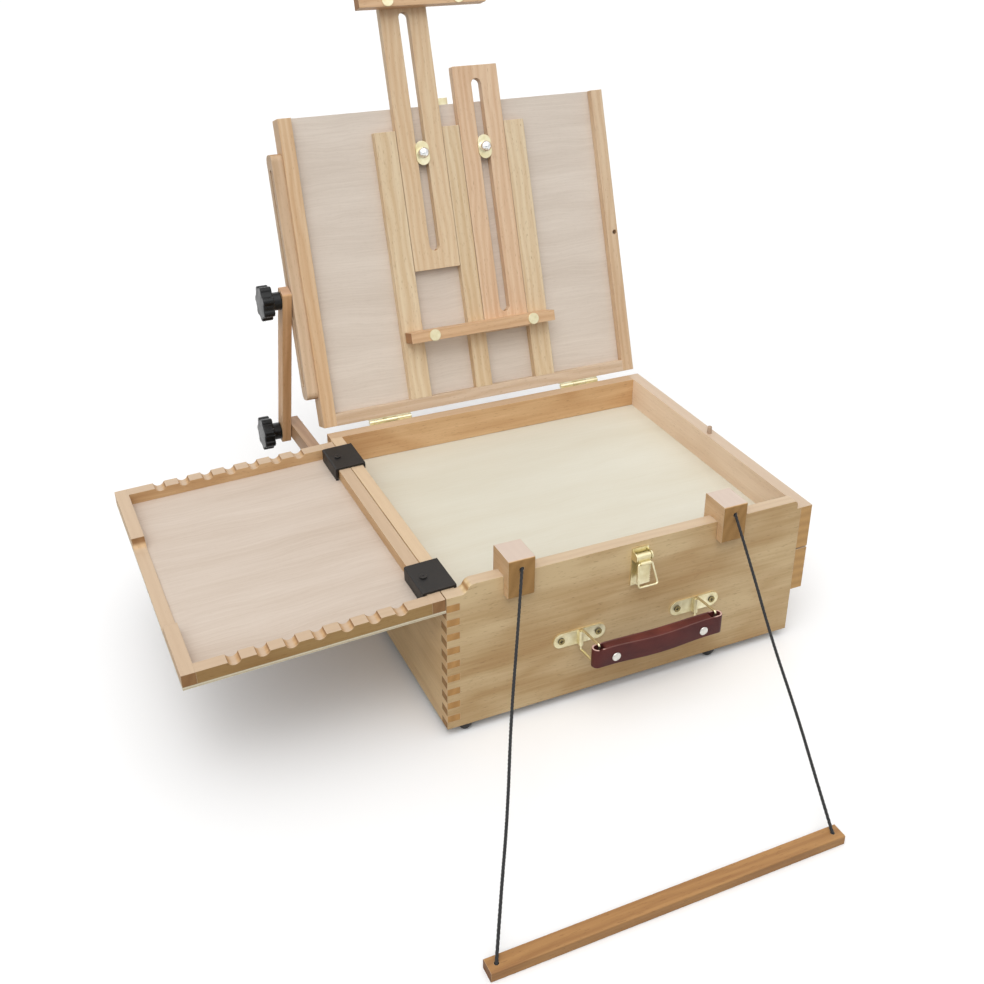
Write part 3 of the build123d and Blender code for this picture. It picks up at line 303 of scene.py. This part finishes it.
def in_grain(tree, frame_turn, offset):
    """Object coordinates and the flat normal, turned so that the grain runs along X."""
    source = add(tree, "TexCoord")
    angles = tuple(radians(a) for a in frame_turn)
    place = add(tree, "Mapping", {}, {"Vector": source.outputs["Object"], "Location": offset,
                                      "Rotation": angles}).outputs[0]
    facing = add(tree, "Mapping", {"vector_type": "NORMAL"}, {"Vector": source.outputs["Normal"],
                                                              "Rotation": angles}).outputs[0]
    return place, facing


def plank(name, light, dark, end, frame_turn=ALONG_X, offset=(0, 0, 0), bands=0.35, streaks=0.9,
          flecks=0.5, edge=(236, 212, 178), top=None, top_sheen_share=0.75, front_shade=None):
    """A board's finish. The top colour is a painted sheen, its own tone on the upward faces for the
    overhead light they catch, and the foremost face is darkened by the front colour as painted shade."""
    material, tree, surface = new_material(name)
    place, facing = in_grain(tree, frame_turn, offset)
    grain = use(tree, plank_grain, {"Vector": place, "Normal": facing, "Light": paint(*light),
                                    "Dark": paint(*dark), "End": paint(*end), "Bands": bands,
                                    "Streaks": streaks, "Flecks": flecks})
    colour = grain["Color"]
    if top is not None:
        # Painted sheen: upward faces are blended towards the top colour, for the overhead light they catch.
        upward = add(tree, "SeparateXYZ", {}, {0: add(tree, "TexCoord").outputs["Normal"]}).outputs[2]
        painted_top_sheen = mapped(tree, upward, 0.8, 0.97, 0.0, top_sheen_share)
        colour = mixed(tree, painted_top_sheen, colour, paint(*top))
    if front_shade is not None:
        # Painted shade: the foremost face, where it points forward, is multiplied darker by the front colour.
        source = add(tree, "TexCoord").outputs
        outward = mapped(tree, add(tree, "SeparateXYZ", {}, {0: source["Normal"]}).outputs[1], -0.8, -0.97)
        shaded_front_face = mapped(tree, add(tree, "SeparateXYZ", {}, {0: source["Object"]}).outputs[1], -0.171, -0.1716)
        colour = mixed(tree, math(tree, "MULTIPLY", outward, shaded_front_face), colour,
                       mixed(tree, 1.0, colour, (*front_shade, 1), "MULTIPLY"))
    surface.inputs["Specular IOR Level"].default_value = 0.4
    finish(tree, surface, colour, grain["Roughness"], grain["Height"], 0.0009, 0.00008,
           paint(*edge), 0.4)
    return material


def veneer(name, light, dark, frame_turn=ALONG_X, offset=(0, 0, 0), lines=1.0, clouds=1.2):
    material, tree, surface = new_material(name)
    place, facing = in_grain(tree, frame_turn, offset)
    grain = use(tree, veneer_grain, {"Vector": place, "Normal": facing, "Light": paint(*light),
                                     "Dark": paint(*dark), "Lines": lines, "Clouds": clouds})
    finish(tree, surface, grain["Color"], grain["Roughness"], grain["Height"], 0.0004, 0.00006)
    return material


def metal(name, plate, dull, polish, edge_radius=0.0003):
    material, tree, surface = new_material(name)
    place = add(tree, "TexCoord").outputs["Object"]
    wear = use(tree, metal_wear, {"Vector": place, "Plate": paint(*plate), "Dull": paint(*dull),
                                  "Polish": polish})
    surface.inputs["Metallic"].default_value = 1.0
    finish(tree, surface, wear["Color"], wear["Roughness"], wear["Height"], edge_radius, 0.00002)
    return material


def cross_head(name, plate, dull, depth):
    """A screw head of worn brass, with painted shade where its cross is cut below the given depth."""
    material, tree, surface = new_material(name)
    place = add(tree, "TexCoord").outputs["Object"]
    wear = use(tree, metal_wear, {"Vector": place, "Plate": paint(*plate), "Dull": paint(*dull),
                                  "Polish": 0.34})
    # Painted shade: below the given depth the cross recess and the head's sides turn dark brown and not metallic.
    inward = add(tree, "SeparateXYZ", {}, {0: place}).outputs[1]
    cut = mapped(tree, inward, depth, depth + 0.0001)
    colour = mixed(tree, cut, wear["Color"], paint(46, 36, 24))
    tree.links.new(math(tree, "SUBTRACT", 1.0, cut), surface.inputs["Metallic"])
    finish(tree, surface, colour, wear["Roughness"], wear["Height"], 0.0002, 0.00002)
    return material


def moulded(name, base, dust, gloss, edge_radius=0.0006, bump=0.00004, edge=None, shine=0.5):
    material, tree, surface = new_material(name)
    surface.inputs["Specular IOR Level"].default_value = shine
    place = add(tree, "TexCoord").outputs["Object"]
    grain = use(tree, moulded_grain, {"Vector": place, "Base": paint(*base), "Dust": paint(*dust),
                                      "Gloss": gloss})
    finish(tree, surface, grain["Color"], grain["Roughness"], grain["Height"], edge_radius, bump,
           paint(*edge) if edge else None)
    return material


def dress(material, *names):
    for name in names:
        slots = nodes[name].data.materials
        slots.clear()
        slots.append(material)


# The top colours here and in the calls below are painted sheen: their own tones for upward faces, standing in for
# the overhead light they catch.
CASE_LIGHT, CASE_DARK, CASE_END = (219, 193, 149), (184, 148, 100), (176, 132, 82)
CASE_TOP_SHEEN = (197, 175, 151)
LID_LIGHT, LID_DARK, LID_END = (217, 192, 161), (193, 157, 120), (186, 148, 108)
TRAY_LIGHT, TRAY_DARK, TRAY_END = (206, 172, 130), (178, 137, 92), (158, 118, 76)
TRAY_TOP_SHEEN = (194, 172, 148)

dress(plank("front board", CASE_LIGHT, CASE_DARK, CASE_END, ALONG_X, (0, 0.3, 0.05), 0.5, top=CASE_TOP_SHEEN),
      "front_wall")
dress(plank("back board", (216, 180, 136), (182, 136, 88), CASE_END, ALONG_X, (1.1, 0.7, 0.2),
            top=(196, 170, 142)), "back_wall")
dress(plank("left board", (238, 204, 154), (206, 165, 110), (206, 158, 98), ALONG_Y, (0.4, 1.2, 0.3),
            top=(204, 182, 156)), "left_wall")
dress(plank("right boards", (238, 217, 193), (210, 181, 150), (214, 171, 114), ALONG_Y, (2.1, 0.2, 0.6),
            0.2, 0.6, 0.4, top=(187, 165, 142)), "upper_right_board", "drawer_board")
dress(plank("right rail", CASE_LIGHT, CASE_DARK, (190, 144, 90), ALONG_Y, (3.0, 0.9, 0.1)), "lower_right_rail")
dress(plank("drawer wood", (226, 202, 168), (200, 166, 126), CASE_END, ALONG_X, (0.8, 2.2, 0.4)),
      "drawer_frame", "drawer_runners")
dress(plank("peg wood", (196, 172, 150), (164, 138, 116), (186, 160, 138), ALONG_Z), "locating_peg")
dress(veneer("compartment panel", (217, 215, 202), (203, 196, 176), ALONG_X, (0.5, 0.5, 0), 0.5, 0.9),
      "pull_out_panel", "drawer_bottom", "base_panel")
# The front rail's foremost face gets painted shade, and its tops a painted sheen.
dress(plank("tray rails across", TRAY_LIGHT, TRAY_DARK, TRAY_END, ALONG_X, (0.3, 0.1, 0.8), top=TRAY_TOP_SHEEN,
            front_shade=(0.66, 0.63, 0.45)),
      "side_tray_scalloped_rails")
dress(plank("tray rails along", TRAY_LIGHT, TRAY_DARK, TRAY_END, ALONG_Y, (1.3, 0.6, 0.2), top=TRAY_TOP_SHEEN),
      "side_tray_outer_rail", "side_tray_inner_rail")
dress(veneer("tray floor", (209, 196, 183), (183, 164, 146), TRAY_ACROSS, (1.5, 0.9, 0), 0.8, 0.9),
      "side_tray_floor")
dress(veneer("lid panel", (226, 215, 203), (192, 177, 162), LID_ACROSS, (0.1, 0.2, 0), 0.75, 0.7),
      "lid_panel")
dress(plank("left lid rail", (219, 191, 156), (196, 156, 114), LID_END, LID_UP, (1.2, 0.9, 0.6)),
      "lid_left_rail")
dress(plank("right lid rail", LID_LIGHT, LID_DARK, LID_END, LID_UP, (0.2, 0.4, 0.1)), "lid_right_rail")
dress(plank("lid foot rail", (214, 192, 168), (188, 158, 126), LID_END, LID_ACROSS, (0.9, 0.8, 0.1)),
      "lid_bottom_rail")
dress(plank("guide wood", (222, 202, 170), (199, 168, 128), LID_END, LID_UP, (1.7, 0.3, 0.5), 0.4, 0.9, 0.7),
      "guide_battens")
dress(plank("slide wood", (223, 201, 168), (202, 167, 129), LID_END, LID_UP, (2.4, 1.4, 0.5)), "left_slide")
dress(plank("second slide wood", (225, 198, 167), (200, 159, 123), LID_END, LID_UP, (3.4, 2.1, 0.2)),
      "right_slide")
dress(plank("cross bars", (215, 180, 142), (183, 140, 100), (172, 128, 88), LID_ACROSS, (0.6, 1.9, 0.3)),
      "top_clamp_bar", "canvas_ledge")
dress(plank("side batten", (209, 182, 152), (184, 153, 119), LID_END, LID_UP, (4.1, 0.8, 0.9)),
      "lid_side_batten")
dress(plank("strut wood", (226, 186, 142), (194, 146, 98), (206, 168, 136), STRUT_UP, (0.7, 0.2, 1.1)),
      "stay_strut")
dress(plank("arm wood", (182, 148, 115), (152, 112, 77), CASE_END, ARM_ALONG, (1.4, 0.2, 0.3)), "stay_arm")
dress(plank("block wood", (222, 190, 150), (188, 146, 100), (178, 137, 82), ALONG_Y, (0.2, 2.4, 0.7), 0.3,
            top=(204, 188, 177), top_sheen_share=0.85), "saddle_blocks")
dress(plank("bar wood", (180, 135, 82), (142, 98, 55), (134, 92, 54), ALONG_X, (5.2, 0.3, 0.8)),
      "hanging_bar")

brass = metal("pale brass", (234, 227, 194), (208, 195, 150), 0.26)
dress(brass, "case_hinge_leaves", "lid_hinge_leaves", "catch_plate", "slide_bolts_and_washers",
      "latch_plate", "latch_lever", "latch_bail", "left_ring", "right_ring", "ledge_discs", "clamp_discs")
dress(metal("plate brass", (238, 232, 200), (214, 202, 158), 0.42), "handle_chapes")
dress(metal("chrome", (236, 238, 238), (208, 212, 214), 0.1), "left_dome_nut", "right_dome_nut")
dress(metal("bright steel", (222, 220, 214), (176, 172, 164), 0.3), "handle_rivets", "arm_screws",
      "slot_nut", "lower_stud", "upper_stud")
dress(metal("dulled brass", (150, 140, 96), (96, 88, 56), 0.34), "case_hinge_screws", "lid_hinge_screws")
dress(cross_head("cross screws", (158, 144, 100), (120, 106, 68), -0.1746), "chape_screws")
dress(moulded("painted clip", (27, 25, 24), (40, 37, 35), 0.42, 0.0007, 0.00003, (76, 72, 69), 0.35),
      "tray_clips", "clip_screws")
dress(moulded("knob plastic", (5, 6, 7), (12, 13, 14), 0.2, 0.0008, 0.00003, (30, 32, 34), 0.3),
      "lower_knob", "upper_knob")
dress(moulded("foot rubber", (17, 17, 17), (36, 36, 36), 0.5), "rubber_feet")

# ---------------------------------------------------------------- floor and lights
bpy.ops.object.select_all(action="DESELECT")
FLOOR_Z = -0.010
bpy.ops.mesh.primitive_plane_add(size=24, location=(0, 0, FLOOR_Z))
floor = bpy.context.object
floor.name = "studio_floor"
# The floor is white to look at and in reflections, and throws less light back up at the wood.
floor_material, tree, surface = new_material("studio floor")
surface.inputs["Base Color"].default_value = (0.3, 0.3, 0.3, 1)
surface.inputs["Roughness"].default_value = 0.9
surface.inputs["Specular IOR Level"].default_value = 0.1
white = add(tree, "BsdfDiffuse", {}, {"Color": (0.95, 0.95, 0.95, 1)})
path_kind = add(tree, "LightPath").outputs
seen = math(tree, "MAXIMUM", path_kind["Is Camera Ray"], path_kind["Is Glossy Ray"])
either = add(tree, "MixShader", {}, {0: seen, 1: surface.outputs[0], 2: white.outputs[0]})
output = next(n for n in tree.nodes if n.type == "OUTPUT_MATERIAL")
tree.links.new(either.outputs[0], output.inputs[0])
floor.data.materials.append(floor_material)

world = bpy.data.worlds.new("studio")
bpy.context.scene.world = world
world.use_nodes = True
dome = world.node_tree
sky = add(dome, "TexCoord").outputs["Generated"]


def lobe(direction, sharpness, strength):
    """Light that is strongest from one side of the dome and fades away from it."""
    towards = add(dome, "VectorMath", {"operation": "DOT_PRODUCT"},
                  {0: sky, 1: Vector(direction).normalized()}).outputs["Value"]
    spread = math(dome, "POWER", math(dome, "MAXIMUM", towards, 0.0), sharpness)
    return math(dome, "MULTIPLY", spread, strength)


from_above = lobe((-0.3, -0.45, 1.0), 4.0, 2.45)
from_behind = lobe((0.42, 0.9, 0.25), 3.0, 0.85)
dome_strength = math(dome, "ADD", math(dome, "ADD", from_above, from_behind), 0.27)
# Polished metal mirrors a white room with one dark place low in front.
room = math(dome, "SUBTRACT", 0.6, lobe((-0.3, -0.95, 0.0), 14.0, 0.8))
mirrored = add(dome, "LightPath").outputs["Is Glossy Ray"]
dome_strength = math(dome, "ADD", dome_strength, math(dome, "MULTIPLY", mirrored, room))
dome_strength = math(dome, "MAXIMUM", dome_strength, 0.0)
dome.nodes["Background"].inputs[0].default_value = (1, 1, 1, 1)
dome.links.new(dome_strength, dome.nodes["Background"].inputs[1])
bpy.context.scene.view_settings.view_transform = "Standard"


def soft_light(name, place, target, size, power):
    data = bpy.data.lights.new(name, "AREA")
    data.shape = "SQUARE"
    data.size = size
    data.energy = power
    lamp = bpy.data.objects.new(name, data)
    bpy.context.collection.objects.link(lamp)
    lamp.location = place
    lamp.rotation_euler = (Vector(target) - Vector(place)).to_track_quat("-Z", "Y").to_euler()
    return lamp


soft_light("key_light", (-0.9, -1.3, 2.3), (0, 0, 0.15), 0.9, 7)

# ---------------------------------------------------------------- cords
# The route's points, as in the part's source: from inside a block's hole to inside the bar's.
CORD_DIAMETER = 0.003
CORD_STRANDS = 3
ROUTES = {
    "left_cord": ((-0.1307, -0.1815, 0.1665), (-0.2658, -0.4235, -0.0005)),
    "right_cord": ((0.0983, -0.1815, 0.1665), (0.0482, -0.4235, -0.0005)),
}
REACH = 0.004


def cord_material():
    material, tree, surface = new_material("black cord")
    place = add(tree, "TexCoord").outputs["Object"]
    fibres = noise(tree, stretched(tree, place, (2600, 2600, 900)), 3)
    shade = mixed(tree, mapped(tree, fibres, 0.35, 0.75), paint(8, 8, 9), paint(30, 30, 32))
    tree.links.new(shade, surface.inputs["Base Color"])
    tree.links.new(mapped(tree, fibres, 0.2, 0.8, 0.6, 0.9), surface.inputs["Roughness"])
    bump = add(tree, "Bump", {}, {"Strength": 1.0, "Distance": 0.0001, "Height": fibres})
    tree.links.new(bump.outputs[0], surface.inputs["Normal"])
    surface.inputs["Sheen Weight"].default_value = 0.15
    return material


def spline_points(name, points):
    """The smooth line through a route's control points, read from a curve with no thickness."""
    curve = bpy.data.curves.new(name + " line", "CURVE")
    curve.dimensions = "3D"
    spline = curve.splines.new("NURBS")
    spline.points.add(len(points) - 1)
    for point, place in zip(spline.points, points):
        point.co = (*place, 1)
    spline.order_u = 3
    spline.use_endpoint_u = True
    spline.resolution_u = 40
    line = bpy.data.objects.new(name + " line", curve)
    bpy.context.collection.objects.link(line)
    mesh = bpy.data.meshes.new_from_object(line)
    found = [vertex.co.copy() for vertex in mesh.vertices]
    bpy.data.meshes.remove(mesh)
    bpy.data.objects.remove(line)
    return found


def twisted_cord(name, material):
    """Three strands laid round each other along the route."""
    first, last = (Vector(p) for p in ROUTES[name])
    along = (last - first).normalized()
    start, end = first - along * REACH, last + along * REACH
    side = along.cross(Vector((0, 0, 1))).normalized()
    across = side.cross(along)
    sway = 0.0012
    route = [start, start + along * 0.06, start.lerp(end, 0.42) + across * -sway + side * sway,
             start.lerp(end, 0.66) + across * -sway - side * sway, end - along * 0.05, end]
    line = spline_points(name, route)
    length = sum((b - a).length for a, b in zip(line, line[1:]))
    lay = 0.0105
    strand_radius = CORD_DIAMETER * 0.32
    offset = CORD_DIAMETER / 2 - strand_radius
    steps = 260
    strands = []
    for number in range(CORD_STRANDS):
        curve = bpy.data.curves.new(f"{name} strand", "CURVE")
        curve.dimensions = "3D"
        curve.bevel_depth = strand_radius
        curve.bevel_resolution = 2
        curve.resolution_u = 1
        curve.use_fill_caps = True
        spline = curve.splines.new("POLY")
        spline.points.add(steps - 1)
        for index in range(steps):
            share = index / (steps - 1)
            at = share * (len(line) - 1)
            low = min(int(at), len(line) - 2)
            centre = line[low].lerp(line[low + 1], at - low)
            angle = 2 * pi * (share * length / lay + number / CORD_STRANDS)
            place = centre + (side * cos(angle) + across * sin(angle)) * offset
            spline.points[index].co = (*place, 1)
        strand = bpy.data.objects.new(f"{name} strand", curve)
        bpy.context.collection.objects.link(strand)
        mesh = bpy.data.meshes.new_from_object(strand)
        bpy.data.objects.remove(strand)
        piece = bpy.data.objects.new(f"{name}_strand_{number}", mesh)
        bpy.context.collection.objects.link(piece)
        strands.append(piece)
    bpy.ops.object.select_all(action="DESELECT")
    for piece in strands:
        piece.select_set(True)
    bpy.context.view_layer.objects.active = strands[0]
    bpy.ops.object.join()
    cord = bpy.context.object
    cord.name = name + "_twist"
    bpy.ops.object.shade_smooth()
    cord.data.materials.clear()
    cord.data.materials.append(material)
    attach(cord, "hanger")
    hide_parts(name)
    return cord



# ---------------------------------------------------------------- leather handle
def leather(name, top, body, edge, edge_low=0.75, pale_from=0.0):
    """Smooth grained hide: pebbles, soft creases darkened with painted shade, a polished bloom and pale cut edges.
    """
    material, tree, surface = new_material(name)
    source = add(tree, "TexCoord")
    place = source.outputs["Object"]
    pebble = add(tree, "TexVoronoi", {"feature": "DISTANCE_TO_EDGE"}, {"Vector": place, "Scale": 1100.0})
    crease = noise(tree, stretched(tree, place, (60, 240, 240)), 4, 0.6)
    bloom = noise(tree, stretched(tree, place, (35, 60, 60)), 3)
    hide = mixed(tree, mapped(tree, bloom, 0.4, 0.75), paint(*body), paint(*top))
    # Painted shade: where the crease pattern is deep the hide is darkened towards dark maroon.
    hide = mixed(tree, math(tree, "MULTIPLY", mapped(tree, crease, 0.55, 0.8), 0.35), hide, paint(38, 14, 16))
    upward = add(tree, "SeparateXYZ", {}, {0: source.outputs["Normal"]}).outputs[2]
    cut = mapped(tree, math(tree, "ABSOLUTE", upward), edge_low, edge_low + 0.15)
    from_middle = math(tree, "SUBTRACT", add(tree, "SeparateXYZ", {}, {0: place}).outputs[0], HANDLE_CENTRE.x)
    at_loop = mapped(tree, math(tree, "ABSOLUTE", from_middle), pale_from - 0.004, pale_from)
    cut = math(tree, "MULTIPLY", cut, mapped(tree, at_loop, 0.0, 1.0, 0.12, 1.0))
    fibre = noise(tree, stretched(tree, place, (1500, 1500, 700)), 2)
    raw = mixed(tree, fibre, paint(*edge), mixed(tree, 1.0, paint(*edge), (0.7, 0.62, 0.6, 1), "MULTIPLY"))
    relief = math(tree, "ADD", mapped(tree, pebble.outputs["Distance"], 0.0, 0.12, 0.0, 0.6),
                  math(tree, "MULTIPLY", crease, 0.5))
    rough = math(tree, "ADD", 0.34, math(tree, "MULTIPLY", bloom, 0.2))
    surface.inputs["Specular IOR Level"].default_value = 0.2
    finish(tree, surface, mixed(tree, cut, hide, raw), rough, relief, 0.0004, 0.00006)
    return material


HANDLE_CENTRE = Vector((0.0051, -0.20373, 0.0639))
HANDLE_END = 0.0717
STRAP = 0.0019
STRAP_HALF_HEIGHT = 0.0101
LOOP_RADIUS = 0.0055 - STRAP / 2
LOOP_CENTRE = HANDLE_END - 0.0055
BELLY = 0.0008
SAG = 0.002
FREE_LENGTH = 0.053
CROWN = 0.045


def handle_rise(x):
    """The share of the belly and the sag: none where the rings swing over the ends, all in the middle."""
    return max(0.0, 1 - (x / FREE_LENGTH) ** 2) ** 2


def start_mesh(name):
    """Names the primitive just added and opens it for shaping, all selected."""
    piece = bpy.context.object
    piece.name = name
    bpy.ops.object.mode_set(mode="EDIT")
    bpy.ops.mesh.select_all(action="SELECT")
    return piece


def pick(piece, test):
    """Selects the vertices whose own place passes a test."""
    bpy.ops.mesh.select_all(action="DESELECT")
    bpy.ops.object.mode_set(mode="OBJECT")
    for vertex in piece.data.vertices:
        vertex.select = test(vertex.co)
    bpy.ops.object.mode_set(mode="EDIT")


def settle(piece, material, body, angle=35):
    """Closes the mesh, brings its place into it and gives it its finish and body."""
    bpy.ops.object.mode_set(mode="OBJECT")
    bpy.ops.object.select_all(action="DESELECT")
    piece.select_set(True)
    bpy.context.view_layer.objects.active = piece
    for modifier in list(piece.modifiers):
        bpy.ops.object.modifier_apply(modifier=modifier.name)
    bpy.ops.object.transform_apply(location=True, rotation=True, scale=True)
    bpy.ops.object.mode_set(mode="EDIT")
    bpy.ops.mesh.select_all(action="SELECT")
    bpy.ops.mesh.remove_doubles(threshold=0.00001)
    bpy.ops.mesh.normals_make_consistent(inside=False)
    bpy.ops.object.mode_set(mode="OBJECT")
    bpy.ops.object.shade_smooth_by_angle(angle=radians(angle))
    piece.data.materials.clear()
    piece.data.materials.append(material)
    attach(piece, body)
    return piece


def bevelled(piece, width, segments):
    modifier = piece.modifiers.new("eased edges", "BEVEL")
    modifier.width = width
    modifier.segments = segments
    modifier.limit_method = "ANGLE"
    modifier.angle_limit = radians(40)


def handle_strap(material):
    """One strap laid round both rings' outer wires and back on itself."""
    bpy.ops.object.select_all(action="DESELECT")
    side = LOOP_RADIUS
    start = HANDLE_CENTRE + Vector((-LOOP_CENTRE, -side, 0))
    bpy.ops.mesh.primitive_plane_add(size=1, location=start, rotation=(0, pi / 2, 0))
    piece = start_mesh("handle_strap")
    bpy.ops.transform.resize(value=(1, STRAP, 2 * STRAP_HALF_HEIGHT))
    stations = 24
    for along, face in ((1, -1), (-1, 1)):
        for step in range(stations):
            was = along * (-LOOP_CENTRE + 2 * LOOP_CENTRE * step / stations)
            now = along * (-LOOP_CENTRE + 2 * LOOP_CENTRE * (step + 1) / stations)
            rise = handle_rise(now) - handle_rise(was)
            step_by = (now - was, face * BELLY * rise, -SAG * rise)
            bpy.ops.mesh.extrude_region_move(TRANSFORM_OT_translate={"value": step_by})
        centre = HANDLE_CENTRE + Vector((along * LOOP_CENTRE, 0, 0))
        bpy.ops.mesh.spin(steps=14, angle=-pi, center=centre, axis=(0, 0, 1))
    pick(piece, lambda place: abs(place.x) < 0.0001 and abs(place.y) < STRAP)
    bpy.ops.mesh.delete(type="ONLY_FACE")
    bpy.ops.mesh.select_all(action="SELECT")
    bpy.ops.mesh.remove_doubles(threshold=0.00005)
    bpy.ops.object.mode_set(mode="OBJECT")
    bevelled(piece, 0.00045, 3)
    return settle(piece, material, "handle")


def handle_core(material):
    """The filling between the strap's two layers, crowned along its top and underside."""
    bpy.ops.object.select_all(action="DESELECT")
    half_length, half_width, half_height = 0.0592, LOOP_RADIUS + STRAP / 2 - 0.0002, 0.0102
    bpy.ops.mesh.primitive_cube_add(size=1, location=HANDLE_CENTRE)
    piece = start_mesh("handle_core")
    bpy.ops.transform.resize(value=(2 * half_length, 2 * half_width, 2 * half_height))
    for step in range(1, 16):
        cut_x = HANDLE_CENTRE.x + half_length * (step / 8 - 1)
        bpy.ops.mesh.select_all(action="SELECT")
        bpy.ops.mesh.bisect(plane_co=(cut_x, 0, 0), plane_no=(1, 0, 0))
    for step in range(17):
        station = half_length * (step / 8 - 1)
        pick(piece, lambda place: abs(place.x - station) < 0.0002)
        rise = handle_rise(station)
        fuller = (1, 1 + BELLY * rise / half_width, 1 + CROWN * rise)
        bpy.ops.transform.resize(value=fuller, center_override=HANDLE_CENTRE)
        bpy.ops.transform.translate(value=(0, 0, -SAG * rise))
    bpy.ops.object.mode_set(mode="OBJECT")
    bevelled(piece, 0.0026, 5)
    return settle(piece, material, "handle", 50)


def turned(name, start, axis, rings, material, body, sides=40):
    """A turned piece: a disc drawn out along its axis through rings of (radius, height)."""
    bpy.ops.object.select_all(action="DESELECT")
    axis = Vector(axis)
    tilt = axis.to_track_quat("Z", "Y").to_euler()
    bpy.ops.mesh.primitive_circle_add(vertices=sides, radius=rings[0][0], fill_type="NGON",
                                      location=Vector(start) + axis * rings[0][1], rotation=tilt)
    piece = start_mesh(name)
    for (was, low), (now, high) in zip(rings, rings[1:]):
        bpy.ops.mesh.extrude_region_move(TRANSFORM_OT_translate={"value": axis * (high - low)})
        share = now / was
        squeeze = tuple(share if abs(a) < 0.5 else 1 for a in axis)
        bpy.ops.transform.resize(value=squeeze, center_override=Vector(start) + axis * high)
    return settle(piece, material, body, 30)


hide = leather("maroon hide", (102, 50, 45), (80, 37, 36), (228, 194, 184), 0.75, LOOP_CENTRE - 0.003)
core_hide = leather("polished hide", (112, 57, 49), (84, 41, 38), (128, 66, 58), 0.99)
strap = handle_strap(hide)
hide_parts("leather_handle")
handle_core(core_hide)

RIVET_RINGS = ((0.0045, 0.0), (0.00452, 0.0004), (0.0043, 0.00075), (0.0037, 0.00105), (0.0026, 0.0013),
               (0.0012, 0.00142), (0.0003, 0.00145))
rivet_steel = metal("rivet steel", (226, 224, 218), (188, 184, 176), 0.2)
for number, place_x in enumerate((-0.0485, 0.0485)):
    rivet_start = HANDLE_CENTRE + Vector((place_x, -0.0058, -0.0019))
    rivet = turned(f"rivet_{number}", rivet_start, (0, -1, 0), RIVET_RINGS, rivet_steel, "handle")
    if number == 0:
        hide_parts("handle_rivets")

black_cord = cord_material()
for cord_name in ROUTES:
    twisted_cord(cord_name, black_cord)
